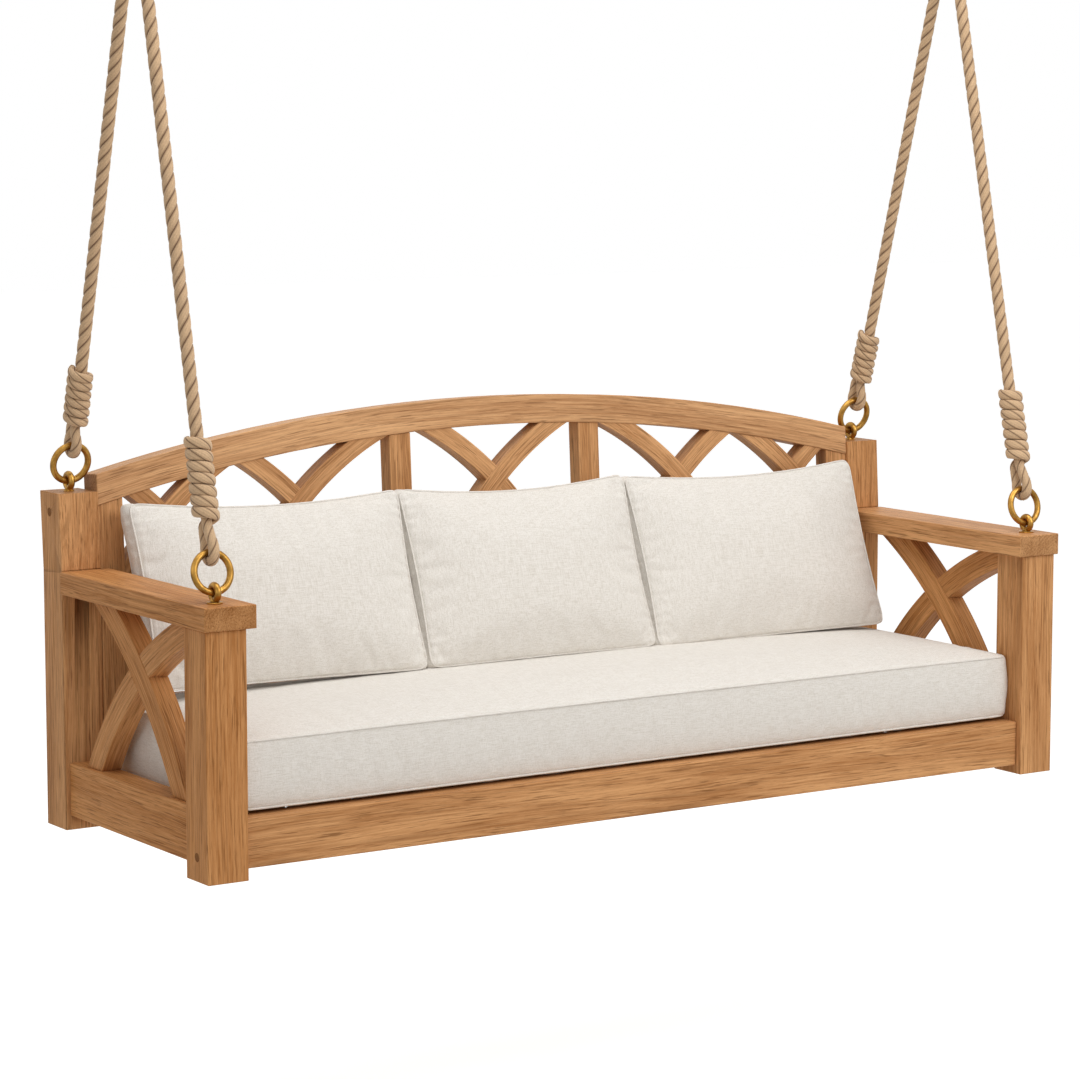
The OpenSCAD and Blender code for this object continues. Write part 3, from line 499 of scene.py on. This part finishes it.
def oiled_timber(name, light, dark, line_dark, pore_dark, roughness):
    """Oiled hardwood. Its figure comes from growth rings cut by each board's own place
    in the log, with darker late wood, long streaks and short open pores; the oil leaves
    a low, even gloss that breaks up along the pores. Teak's rings are 2 to 5 mm apart
    and drawn 7 mm apart, so that they show."""
    material, tree, shader = surface(name)
    grain = add(tree, "Attribute", attribute_name="grain")
    arc = add(tree, "Attribute", attribute_name="arc")
    heart = add(tree, "Attribute", attribute_name="heart")
    share = add(tree, "Attribute", attribute_name="board")
    way = add(tree, "Attribute", attribute_name="way")
    # where a board is sawn to an arc its grain is measured along and across that arc
    from_middle = add(tree, "VectorMath", links={0: (grain, "Vector"), 1: (arc, "Vector")},
                      operation="SUBTRACT")
    parts = add(tree, "SeparateXYZ", links={"Vector": from_middle})
    radius = add(tree, "SeparateXYZ", links={"Vector": (arc, "Vector")})
    angle = add(tree, "Math", links={0: (parts, "X"), 1: (parts, "Y")}, operation="ARCTAN2")
    round_way = add(tree, "Math", links={0: angle, 1: (radius, "Z")}, operation="MULTIPLY")
    in_plane = add(tree, "VectorMath", {1: (1, 1, 0)}, {0: from_middle}, operation="MULTIPLY")
    far = add(tree, "VectorMath", links={0: in_plane}, operation="LENGTH")
    over = add(tree, "Math", links={0: (far, "Value"), 1: (radius, "Z")}, operation="SUBTRACT")
    depth = add(tree, "SeparateXYZ", links={"Vector": (grain, "Vector")})
    curved = add(tree, "CombineXYZ", links={"X": round_way, "Y": over, "Z": (depth, "Z")})
    is_arc = add(tree, "Math", {1: 0.001}, {0: (radius, "Z")}, operation="GREATER_THAN")
    followed = add(tree, "Mix", data_type="VECTOR")
    tree.links.new(is_arc.outputs[0], followed.inputs[0])
    tree.links.new(grain.outputs["Vector"], followed.inputs[4])
    tree.links.new(curved.outputs["Vector"], followed.inputs[5])
    inside = add(tree, "VectorMath", links={0: (followed, 1), 1: (heart, "Vector")},
                 operation="ADD")
    # the log's heart wanders by up to 15 mm
    slow = add(tree, "Mapping", {"Scale": (1.4, 9, 9)}, {"Vector": inside})
    sway = add(tree, "TexNoise", {"Scale": 1, "Detail": 2, "Roughness": 0.5}, {"Vector": slow})
    centred = add(tree, "VectorMath", {1: (0.5, 0.5, 0.5)}, {0: (sway, "Color")},
                  operation="SUBTRACT")
    swayed = add(tree, "VectorMath", {1: (0, 0.03, 0.03)}, {0: centred}, operation="MULTIPLY")
    bent = add(tree, "VectorMath", links={0: inside, 1: swayed}, operation="ADD")
    flat = add(tree, "VectorMath", {1: (0, 1, 1)}, {0: bent}, operation="MULTIPLY")
    reach = add(tree, "VectorMath", links={0: flat}, operation="LENGTH")
    ring_angle = add(tree, "Math", {1: 2 * math.pi / RING_GAP}, {0: (reach, "Value")},
                     operation="MULTIPLY")
    ring_wave = add(tree, "Math", links={0: ring_angle}, operation="SINE")
    late = add(tree, "MapRange", {"From Min": 0.1}, {"Value": ring_wave},
               interpolation_type="SMOOTHSTEP")
    fade_way = add(tree, "Mapping", {"Scale": (3, 40, 40)}, {"Vector": bent})
    fade = add(tree, "TexNoise", {"Scale": 1, "Detail": 2}, {"Vector": fade_way})
    fade_in = add(tree, "MapRange", {"From Min": 0.38, "From Max": 0.66}, {"Value": fade})
    late = add(tree, "Math", links={0: late, 1: fade_in}, operation="MULTIPLY")
    # bands 4 cm wide, and streaks 2 to 4 mm wide and a hand long
    band_way = add(tree, "Mapping", {"Scale": (2.2, 26, 26)}, {"Vector": bent})
    bands = add(tree, "TexNoise", {"Scale": 1, "Detail": 2, "Roughness": 0.5},
                {"Vector": band_way})
    streak_way = add(tree, "Mapping", {"Scale": (6, 290, 290)}, {"Vector": bent})
    streaks = add(tree, "TexNoise", {"Scale": 1, "Detail": 5, "Roughness": 0.72},
                  {"Vector": streak_way})
    figure = add(tree, "Mix", {0: 0.36}, data_type="FLOAT")
    tree.links.new(streaks.outputs["Fac"], figure.inputs[2])
    tree.links.new(bands.outputs["Fac"], figure.inputs[3])
    # a few dark lines, 2 mm wide and a finger long
    line_way = add(tree, "Mapping", {"Scale": (11, 360, 360), "Location": (3, 7, 5)},
                   {"Vector": bent})
    lines = add(tree, "TexNoise", {"Scale": 1, "Detail": 2, "Roughness": 0.55},
                {"Vector": line_way})
    dark_line = add(tree, "MapRange", {"From Min": 0.57, "From Max": 0.66, "To Max": 0.62},
                    {"Value": lines})
    # pores half a millimetre wide, drawn a millimetre wide so that they show
    pore_way = add(tree, "Mapping", {"Scale": (34, 950, 950)}, {"Vector": bent})
    pores = add(tree, "TexNoise", {"Scale": 1, "Detail": 2, "Roughness": 0.6},
                {"Vector": pore_way})
    open_pore = add(tree, "MapRange", {"From Min": 0.6, "From Max": 0.72}, {"Value": pores})
    tone = add(tree, "ValToRGB", links={"Fac": figure})
    tone.color_ramp.elements[0].position = 0.37
    tone.color_ramp.elements[0].color = linear(dark)
    tone.color_ramp.elements[1].position = 0.6
    tone.color_ramp.elements[1].color = linear(light)
    lined = add(tree, "Mix", {7: linear(line_dark)}, {6: tone}, data_type="RGBA")
    part = add(tree, "Math", {1: 0.36}, {0: late}, operation="MULTIPLY")
    part = add(tree, "Math", links={0: part, 1: dark_line}, operation="MAXIMUM")
    tree.links.new(part.outputs[0], lined.inputs[0])
    pored = add(tree, "Mix", {7: linear(pore_dark)}, {6: (lined, 2)}, data_type="RGBA")
    part = add(tree, "Math", {1: 0.4}, {0: open_pore}, operation="MULTIPLY")
    tree.links.new(part.outputs[0], pored.inputs[0])
    # pale boards are a little brighter, greyer and yellower than deep ones
    bright = add(tree, "MapRange", {"To Min": 0.97, "To Max": 1.12}, {"Value": (share, "Fac")})
    pale = add(tree, "MapRange", {"To Min": 1.06, "To Max": 0.92}, {"Value": (share, "Fac")})
    warm = add(tree, "MapRange", {"To Min": 0.498, "To Max": 0.505}, {"Value": (share, "Fac")})
    # sawn ends drink more oil and dry darker
    facing = add(tree, "TexCoord")
    towards = add(tree, "VectorMath", links={0: (facing, "Normal"), 1: (way, "Vector")},
                  operation="DOT_PRODUCT")
    sawn = add(tree, "Math", links={0: (towards, "Value")}, operation="ABSOLUTE")
    darker = add(tree, "MapRange",
                 {"From Min": 0.75, "From Max": 0.95, "To Min": 1, "To Max": 0.8},
                 {"Value": sawn})
    bright = add(tree, "Math", links={0: bright, 1: darker}, operation="MULTIPLY")
    own = add(tree, "HueSaturation",
              links={"Color": (pored, 2), "Value": bright, "Hue": warm, "Saturation": pale})
    tree.links.new(own.outputs["Color"], shader.inputs["Base Color"])
    gloss = add(tree, "MapRange",
                {"From Min": 0.3, "From Max": 0.7, "To Min": roughness + 0.07,
                 "To Max": roughness - 0.05}, {"Value": streaks})
    tree.links.new(gloss.outputs["Result"], shader.inputs["Roughness"])
    height = add(tree, "Math", {1: -0.7}, {0: open_pore, 2: streaks}, operation="MULTIPLY_ADD")
    bump = add(tree, "Bump", {"Strength": 0.3, "Distance": 0.0005}, {"Height": height})
    tree.links.new(bump.outputs["Normal"], shader.inputs["Normal"])
    shader.inputs["IOR"].default_value = 1.47
    # the oil soaks in, so the wood mirrors little of the room
    shader.inputs["Specular IOR Level"].default_value = 0.1
    return material


teak = oiled_timber("oiled teak", "#D19A67", "#A46D3F", "#6B4221", "#5E3B1D", 0.46)


def board(node, material, along, across, width=0.0022, arc=(0, 0, 0), pale=None):
    """Stands for a timber node: its solid with eased edges and its own place in the log.
    along and across are the board's directions; arc gives the middle of the arc that it
    is sawn to, in those two directions from the bed's origin, and its radius. pale is its
    colour from 0, deep, to 1, pale, where it isn't left to chance."""
    chance = random.Random(node)
    mesh = shape_of(node)
    along, across = Vector(along), Vector(across)
    into = along.cross(across)
    centre = sum((v.co for v in mesh.verts), Vector()) / len(mesh.verts)
    from_bed = centre - BED
    arc_middle = Vector(arc) / 1000
    if arc[2]:
        arc_middle -= Vector((from_bed.dot(along), from_bed.dot(across), 0))
    heart = Vector((chance.uniform(-5, 5), chance.choice((-1, 1)) * chance.uniform(0.03, 0.09),
                    chance.choice((-1, 1)) * chance.uniform(0.05, 0.12)))
    values = {"arc": arc_middle, "heart": heart, "way": along}
    layers = {key: mesh.verts.layers.float_vector.new(key) for key in ("grain", *values)}
    own = mesh.verts.layers.float.new("board")
    share = chance.uniform(0.05, 0.55) if pale is None else pale
    for vert in mesh.verts:
        local = vert.co - centre
        vert[layers["grain"]] = Vector((local.dot(along), local.dot(across), local.dot(into)))
        for key, value in values.items():
            vert[layers[key]] = value
        vert[own] = share
    return ease(piece_of(mesh, f"{node}_timber", material, node), width, 3)


X, Y, Z = (1, 0, 0), (0, 1, 0), (0, 0, 1)
FINE_EDGE = 0.0014
for side, side_name in SIDES:
    board(f"post_front_{side_name}", teak, Z, X, FINE_EDGE)
    board(f"post_back_{side_name}", teak, Z, X, FINE_EDGE)
    board(f"side_rail_{side_name}", teak, Y, Z, FINE_EDGE)
    board(f"arm_{side_name}", teak, Y, X, FINE_EDGE)
board("front_rail", teak, X, Z, FINE_EDGE, pale=0.5)
board("back_rail", teak, X, Z, 0.0006)

# Each arm stands on two curved braces, sawn from wide boards and halved where they
# cross, with their ends scribed to the arm, the posts and the side rail.

BRACE_CROSS = (322, 361)
BRACES = ((1, "rising", 960, 44.5), (-1, "falling", 780, 37))

for side, side_name in SIDES:
    for way, way_name, radius, slope in BRACES:
        slant = math.radians(slope)
        arc = (BRACE_CROSS[0] + way * radius * math.sin(slant),
               BRACE_CROSS[1] - radius * math.cos(slant), radius)
        board(f"arm_brace_{way_name}_{side_name}", teak, Y, Z, arc=arc)

# The back leans between the back posts: an arched top rail sawn from a wide plank, two
# stiles, a low rail, middle rails, two slats, and five crosses of curved braces, halved
# together and let into the arch.

BACK_Y, ARM_TOP, RAKE = 612, 530, math.radians(3.5)
up_slope = (0, math.sin(RAKE), math.cos(RAKE))
# Where the arms' height on the back posts' front faces lies up that slope
SLOPE_START = BACK_Y * math.sin(RAKE) + ARM_TOP * math.cos(RAKE)
ARCH_R, ARCH_DROP = 4081.2, 3774.8
board("arch_rail", teak, X, up_slope, 0.0025, (0, SLOPE_START - ARCH_DROP, ARCH_R), 1)
for node in ("low_rail", "mid_rails"):
    board(node, teak, X, up_slope)
for node in ("stile_left", "stile_right", "back_slat_left", "back_slat_right"):
    board(node, teak, up_slope, X, pale=0.6)

CROSS_R = 700
CROSS_SLOPE = math.radians(45.5)
CROSSINGS = (("outer_left", -807, 626), ("inner_left", -490, 636), ("middle", 0, 656),
             ("inner_right", 490, 636), ("outer_right", 807, 626))
for cell, x, z in CROSSINGS:
    for way, way_name in ((1, "rising"), (-1, "falling")):
        crossing = SLOPE_START + (z - ARM_TOP) / math.cos(RAKE)
        arc = (x + way * CROSS_R * math.sin(CROSS_SLOPE),
               crossing - CROSS_R * math.cos(CROSS_SLOPE), CROSS_R)
        board(f"cross_{cell}_{way_name}", teak, X, up_slope, 0.0018, arc, 0.75)

# Under the cushions a deck of planed slats lies on ledgers along both long rails, over
# two joists. It is the same wood, left plainer and oiled once.

deck_teak = oiled_timber("once-oiled teak deck", "#C79668", "#A87748", "#80552F", "#6B4828", 0.6)
board("seat_slats", deck_teak, Y, X, 0.0006)
board("ledgers", deck_teak, X, Z, 0.0015)
board("joists", deck_teak, Y, Z, 0.0015)
board("dowels", deck_teak, Y, Z, 0.0008)

# Small plugs close the screw holes in the posts, cut across the grain and sanded flush.

end_grain = oiled_timber("teak end-grain plugs", "#A06D3F", "#885A33", "#6B4526", "#55371D", 0.6)
board("plugs", end_grain, X, Z, 0.0004)

# ---- Cushions ----
# Loose cushions of foam wrapped in fibre, in covers of heavy linen weave with a boxed
# border. Every seam round the panels is piped with a thin cord in the same cloth.

linen, tree, shader = surface("woven linen cover")
weave = add(tree, "Attribute", attribute_name="weave")
# Woven flax is matt, with threads that vary in tone and thicken here and there. They
# are half a millimetre wide and drawn about 1 mm wide, and their slubs 1.5 mm.
THREAD = {"Scale": 1, "Detail": 2, "Roughness": 0.6}
SLUB = {"Scale": 1, "Detail": 3, "Roughness": 0.7}
total = None
for scale, kind in (((60, 1250, 1250), THREAD), ((1250, 60, 1250), THREAD),
                    ((1250, 1250, 60), THREAD), ((40, 640, 640), SLUB), ((640, 40, 640), SLUB)):
    way = add(tree, "Mapping", {"Scale": scale}, {"Vector": (weave, "Vector")})
    yarn = add(tree, "TexNoise", kind, {"Vector": way})
    total = add(tree, "Math", links={0: total, 1: yarn}, operation="ADD") if total else yarn
cloth = add(tree, "MapRange", {"From Min": 2.2, "From Max": 2.8}, {"Value": total})
tone = add(tree, "ValToRGB", links={"Fac": cloth})
tone.color_ramp.elements[0].position = 0.1
tone.color_ramp.elements[0].color = linear("#D1CABF")
tone.color_ramp.elements[1].position = 0.75
tone.color_ramp.elements[1].color = linear("#E6E1DA")
tree.links.new(tone.outputs["Color"], shader.inputs["Base Color"])
bump = add(tree, "Bump", {"Strength": 0.35, "Distance": 0.0006}, {"Height": cloth})
tree.links.new(bump.outputs["Normal"], shader.inputs["Normal"])
shader.inputs["Roughness"].default_value = 0.9
shader.inputs["IOR"].default_value = 1.5
shader.inputs["Sheen Weight"].default_value = 0.12
shader.inputs["Sheen Roughness"].default_value = 0.6


def seam(a, b, draws, corner, steps):
    """The outline of a panel of half sides a and b with rounded corners, whose sides are
    drawn in between them by draws, for left, right, foot and top: evenly spaced points."""
    points = []
    for sx, sy, start in ((1, -1, -90), (1, 1, 0), (-1, 1, 90), (-1, -1, 180)):
        for k in range(9):
            angle = math.radians(start + 90 * k / 8)
            points.append((sx * (a - corner) + corner * math.cos(angle),
                           sy * (b - corner) + corner * math.sin(angle)))
    points.append(points[0])
    line, = evenly(points, 1)
    x, y = line.T
    pull_x = np.where(x < 0, draws[0], draws[1]) * (1 - np.clip(np.abs(y) / b, 0, 1) ** 2)
    pull_y = np.where(y < 0, draws[2], draws[3]) * (1 - np.clip(np.abs(x) / a, 0, 1) ** 2)
    line = np.stack([x - np.sign(x) * pull_x * np.abs(x) / a,
                     y - np.sign(y) * pull_y * np.abs(y) / b], 1)
    line, = evenly(line, sum(np.linalg.norm(np.diff(line, axis=0), axis=1)) / steps)
    return line[:-1]


# The frame at which the cloth has settled
SETTLED = 20


def fill_with_cloth(piece, seams, voxel, cap, pressure, slack):
    """Fills a cover: its panels swell between their seams, which the piping holds, by a
    cap at the most. slack is the shrinkage of the cloth, less than 0 where it is loose."""
    bpy.ops.object.select_all(action="DESELECT")
    piece.select_set(True)
    bpy.context.view_layer.objects.active = piece
    remesh = piece.modifiers.new("remesh", "REMESH")
    remesh.mode = "VOXEL"
    remesh.voxel_size = voxel
    remesh.use_smooth_shade = True
    bpy.ops.object.modifier_apply(modifier=remesh.name)
    start = np.array([tuple(v.co) for v in piece.data.vertices])
    held = piece.vertex_groups.new(name="seams")
    seam_points = np.array([tuple(p) for line in seams for p in line])
    held_within = 1.15 * voxel
    batch = 2000
    for first in range(0, len(start), batch):
        part = start[first:first + batch]
        gap = np.min(np.linalg.norm(part[:, None] - seam_points[None], axis=2), axis=1)
        for k, distance in enumerate(gap):
            if distance < held_within:
                held.add([first + k], 1.0, "REPLACE")
    cloth = piece.modifiers.new("cover", "CLOTH")
    cloth.settings.quality = 5
    cloth.settings.mass = 0.4
    cloth.settings.tension_stiffness = 18
    cloth.settings.compression_stiffness = 18
    cloth.settings.shear_stiffness = 8
    cloth.settings.bending_stiffness = 1.2
    cloth.settings.use_pressure = True
    cloth.settings.uniform_pressure_force = pressure
    cloth.settings.effector_weights.gravity = 0
    cloth.settings.shrink_min = slack
    cloth.settings.vertex_group_mass = held.name
    cloth.collision_settings.use_collision = False
    for number in range(1, SETTLED + 1):
        bpy.context.scene.frame_set(number)
    evaluated = piece.evaluated_get(bpy.context.evaluated_depsgraph_get())
    moved = np.array([tuple(v.co) for v in evaluated.data.vertices]) - start
    bpy.context.scene.frame_set(1)
    piece.modifiers.remove(cloth)
    reach = np.linalg.norm(moved, axis=1)[:, None]
    limit = cap * np.tanh(reach / cap) / np.maximum(reach, 1e-9)
    piece.data.vertices.foreach_set("co", (start + moved * limit).ravel())
    piece.data.update()
    subdivide = piece.modifiers.new("finer", "SUBSURF")
    subdivide.levels = 1
    bpy.ops.object.modifier_apply(modifier=subdivide.name)
    piece.data.polygons.foreach_set("use_smooth", [True] * len(piece.data.polygons))


PIPING_R = 0.0022


def pipe(name, line, centre, cover, sides=8):
    """A thin cord in a strip of the cover's cloth, sewn into a seam all round a panel. It
    lies half sunk in the cover."""
    skin = BVHTree.FromPolygons([v.co for v in cover.data.vertices],
                                [tuple(f.vertices) for f in cover.data.polygons])
    places, out = [], []
    for p in line:
        near, normal = skin.find_nearest(p)[:2]
        places.append(tuple(near + normal * (0.5 * PIPING_R)))
        out.append(tuple(normal))
    line, out = np.array(places), np.array(out)
    for _ in range(3):
        line, out = [(np.roll(v, 1, axis=0) + 2 * v + np.roll(v, -1, axis=0)) / 4
                     for v in (line, out)]
    way = np.roll(line, -1, axis=0) - np.roll(line, 1, axis=0)
    way /= np.linalg.norm(way, axis=1)[:, None]
    out -= way * np.sum(out * way, 1)[:, None]
    out /= np.linalg.norm(out, axis=1)[:, None]
    side = np.cross(way, out)
    mesh = bmesh.new()
    weave = mesh.verts.layers.float_vector.new("weave")
    rings = []
    for k in range(sides):
        a = 2 * math.pi * k / sides
        column = []
        for p, o, s in zip(line, out, side):
            place = p + PIPING_R * (math.cos(a) * o + math.sin(a) * s)
            vert = mesh.verts.new(tuple(place))
            vert[weave] = Vector(tuple(place)) - Vector(centre)
            column.append(vert)
        rings.append(column)
    for k in range(sides):
        one, two = rings[k], rings[(k + 1) % sides]
        for i in range(len(one)):
            j = (i + 1) % len(one)
            mesh.faces.new((one[i], one[j], two[j], two[i])).smooth = True
    piece = finished(mesh, name)
    piece.data.materials.append(linen)
    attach(piece, ride_on)


SEAM_STEP = 9
BORDER_STEP = 9
SHARES = [0.08, 0.2, 0.34, 0.48, 0.6, 0.7, 0.78, 0.85, 0.9, 0.94, 0.97, 0.99]
# A sag between slats goes down within 8 mm of the slats' edges, and ends over the rails
SAG_SIDE, RAIL_REACH, SAG_END = 8, 29, 14


def cushion(name, node, half, height, low, high, draws, place, lean, filling, corner,
            flat, full, slope=0.0, roll=0.0, gaps=None, pucker=0.0, swell=2.0):
    """A boxed cushion with piping: two panels of the given half sides, a border of the
    given height between them, and a crown of low under and of high over it. It is sewn
    flat, stood at its place by its lean and roll, and filled. draws is how far each side
    is drawn in, flat is higher for a crown with a flat middle, full lower for one that
    rises more steeply from its seam. slope brings the foot's border level. gaps gives
    the step, width and depth of the sags between slats. pucker is how far the cloth
    gathers along the seams, swell how far its border stands out."""
    a, b = half

    def placed(p):
        x = p[0] * math.cos(roll) - p[1] * math.sin(roll)
        y = p[0] * math.sin(roll) + p[1] * math.cos(roll)
        y -= slope * (p[2] - height) * (b - y) / (2 * b)
        return bed(place[0] + x, place[1] + y * math.cos(lean) - p[2] * math.sin(lean),
                   place[2] + y * math.sin(lean) + p[2] * math.cos(lean))

    def crown(x, y):
        pull_x = draws[0 if x < 0 else 1] * (1 - min(1, abs(y) / b) ** 2)
        pull_y = draws[2 if y < 0 else 3] * (1 - min(1, abs(x) / a) ** 2)
        u, v = min(1, abs(x) / (a - pull_x)), min(1, abs(y) / (b - pull_y))
        return ((1 - u ** flat) * (1 - v ** flat)) ** full

    def belly(x, y):
        if not gaps:
            return low * crown(x, y)
        step, width, depth = gaps
        edge = ((1 - (abs(x) / a) ** 14) * (1 - (abs(y) / b) ** 14)) ** 0.5
        off_middle = abs(x / step % 1 - 0.5) * step
        sag = min(1, max(0, (width / 2 - off_middle) / SAG_SIDE))
        sag *= min(1, max(0, (b - RAIL_REACH - abs(y)) / SAG_END))
        return low * edge + depth * sag

    outline = seam(a, b, draws, corner, int(4 * (a + b) / SEAM_STEP) & ~1)
    levels = [[(x, y, -belly(x, y)) for x, y in outline * share] for share in SHARES]
    border = max(3, int(height / BORDER_STEP))
    for k in range(border + 1):
        t = k / border
        bulge = 1 + swell * math.sin(math.pi * t) / min(a, b)
        levels.append([(x * bulge, y * bulge, height * t) for x, y in outline])
    levels += [[(x, y, height + high * crown(x, y)) for x, y in outline * share]
               for share in SHARES[::-1]]
    mesh = bmesh.new()
    rings = [[mesh.verts.new(placed(p)) for p in level] for level in levels]
    for one, two in zip(rings, rings[1:]):
        for k in range(len(one)):
            j = (k + 1) % len(one)
            mesh.faces.new((one[k], one[j], two[j], two[k]))
    for ring, z, way in ((rings[0], -low, -1), (rings[-1], height + high, 1)):
        middle = mesh.verts.new(placed((0, 0, z)))
        for k in range(len(ring)):
            edge = (ring[k], ring[(k + 1) % len(ring)])[::way]
            mesh.faces.new((*edge, middle))
    piece = finished(mesh, name)
    piece.data.polygons.foreach_set("use_smooth", [True] * len(piece.data.polygons))
    seams = [[placed((x, y, z)) for x, y in outline] for z in (0, height)]
    fill_with_cloth(piece, seams, **filling)
    centre = placed((0, 0, height / 2))
    weave = piece.data.attributes.new("weave", "FLOAT_VECTOR", "POINT")
    upright = np.array([(1, 0, 0), (0, math.cos(lean), -math.sin(lean)),
                        (0, math.sin(lean), math.cos(lean))])
    local = np.array([tuple(vert.co - centre) for vert in piece.data.vertices]) @ upright
    weave.data.foreach_set("vector", local.ravel())
    if pucker:
        # gathers every 25 to 30 mm, unevenly, that fade within 20 mm of the seams
        x, y, z = (local * 1000).T
        gather = np.exp((np.abs(x) - a) / 20) * np.sin(y * 0.25 + 1.9 * np.sin(y * 0.043))
        gather += 0.6 * np.exp((np.abs(y) - b) / 16) * np.sin(x * 0.21 + 2.3 * np.sin(x * 0.037))
        for vert, lift in zip(piece.data.vertices, pucker / 1000 * gather * np.sign(z)):
            vert.co += Vector((0, -math.sin(lean), math.cos(lean))) * float(lift)
    piece.data.materials.append(linen)
    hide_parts(node)
    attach(piece, ride_on)
    for which, line in zip(("under", "over"), seams):
        pipe(f"{name}_piping_{which}", line, centre, piece)


# The seat cushion fills the space between the four posts. It lies on the deck, sags a
# little into the gaps between its slats and reaches over the front rail.

SEAT_HALF, SEAT_EDGE = (959, 273), 134.5
SEAT_BELLY, SEAT_CROWN = 4, 27
SEAT_AT = (0, 315, 125)
SLAT_STEP, SLAT_GAP, SAG = 148, 53, 9
cushion("seat_cushion_cover", "seat_cushion", SEAT_HALF, SEAT_EDGE, SEAT_BELLY, SEAT_CROWN,
        (2, 2, 3, 3), SEAT_AT, 0,
        {"voxel": 0.009, "cap": 0.004, "pressure": 1.5, "slack": -0.004},
        corner=14, flat=3.2, full=0.55, gaps=(SLAT_STEP, SLAT_GAP, SAG))

# Three softer back cushions stand on it side by side and lean on the back, each turned
# a little its own way.

PILLOW_UP = math.radians(69.5)
PILLOW_H, PILLOW_EDGE, PILLOW_CROWN = 396, 42, 34
# How far left, right, foot and top are drawn in, and the seams from the outer edge
PILLOW_DRAWS, SEAM_IN = (9, 9, 3, 22), (2, 3)
# The feet's place behind the posts' faces
FOOT_Y = 432
RISE, LEAN = math.sin(PILLOW_UP), math.cos(PILLOW_UP)
# Left and right side, height of the foot, and the turn in degrees
PILLOWS = (("left", -926, -292, 292, 0.9), ("middle", -291, 291, 287, 0.1),
           ("right", 292, 926, 283, -0.3))
for name, x0, x1, foot_z, turn in PILLOWS:
    half = ((x1 - x0) / 2 - SEAM_IN[0], PILLOW_H / 2 - SEAM_IN[1])
    place = ((x0 + x1) / 2, FOOT_Y + PILLOW_H / 2 * LEAN + PILLOW_EDGE * RISE,
             foot_z + PILLOW_H / 2 * RISE - PILLOW_EDGE * LEAN)
    cushion(f"back_cushion_{name}_cover", f"back_cushion_{name}", half, PILLOW_EDGE,
            PILLOW_CROWN, PILLOW_CROWN, PILLOW_DRAWS, place, PILLOW_UP,
            {"voxel": 0.007, "cap": 0.007, "pressure": 3.0, "slack": -0.012},
            corner=12, flat=2.5, full=0.5, slope=1 / math.tan(PILLOW_UP),
            roll=math.radians(-turn), pucker=1.4, swell=6.0)

# ---- The studio ----
# A plain pale paper floor well under the bed, white ground behind it, one broad soft
# lamp over the front, one above, a weak one at the left, and even light all round.

FLOOR_Z, FLOOR_REACH = BED.z - 0.6, 30
floor = bpy.data.objects.new("floor", bpy.data.meshes.new("floor"))
floor.data.from_pydata([(x * FLOOR_REACH, y * FLOOR_REACH, FLOOR_Z)
                        for x, y in ((-1, -1), (1, -1), (1, 1), (-1, 1))], [], [(0, 1, 2, 3)])
bpy.context.scene.collection.objects.link(floor)
paper, tree, shader = surface("white paper floor")
shader.inputs["Base Color"].default_value = linear("#E9E8E6")
shader.inputs["Roughness"].default_value = 0.9
path = add(tree, "LightPath")
glow = add(tree, "Emission", {"Color": (1, 1, 1, 1), "Strength": 0.6})
both = add(tree, "AddShader", links={0: shader, 1: glow})
chosen = add(tree, "MixShader", links={0: (path, "Is Camera Ray"), 1: shader, 2: both})
tree.links.new(chosen.outputs["Shader"], tree.nodes["Material Output"].inputs["Surface"])
floor.data.materials.append(paper)

world = bpy.data.worlds.new("studio")
bpy.context.scene.world = world
world.use_nodes = True
tree = world.node_tree
ground = tree.nodes["Background"]
ground.inputs["Color"].default_value = (1, 1, 1, 1)
path = add(tree, "LightPath")
seen = add(tree, "Math", links={0: (path, "Is Camera Ray"), 1: (path, "Is Glossy Ray")},
           operation="MAXIMUM")
seen = add(tree, "Math", links={0: seen, 1: (path, "Is Transmission Ray")}, operation="MAXIMUM")
level = add(tree, "MapRange", {"To Min": 0.46, "To Max": 1.0}, {"Value": seen})
tree.links.new(level.outputs["Result"], ground.inputs["Strength"])

# Where each lamp stands, what it aims at, its size in metres and its watts
for name, at, aim, size, power in (("key", (1.6, -4.2, 1.6), (0, 0, -1.5), 3.4, 138),
                                   ("top", (-0.6, -0.4, 2.4), (0, 0, -1.5), 3.0, 82),
                                   ("left", (-4.4, -0.6, -0.2), (0, 0, -1.6), 2.4, 9)):
    lamp = bpy.data.objects.new(name, bpy.data.lights.new(name, "AREA"))
    bpy.context.scene.collection.objects.link(lamp)
    lamp.data.size = size
    lamp.data.energy = power
    lamp.location = at
    lamp.rotation_euler = (Vector(aim) - Vector(at)).to_track_quat("-Z", "Y").to_euler()

bpy.context.scene.view_settings.view_transform = "Standard"
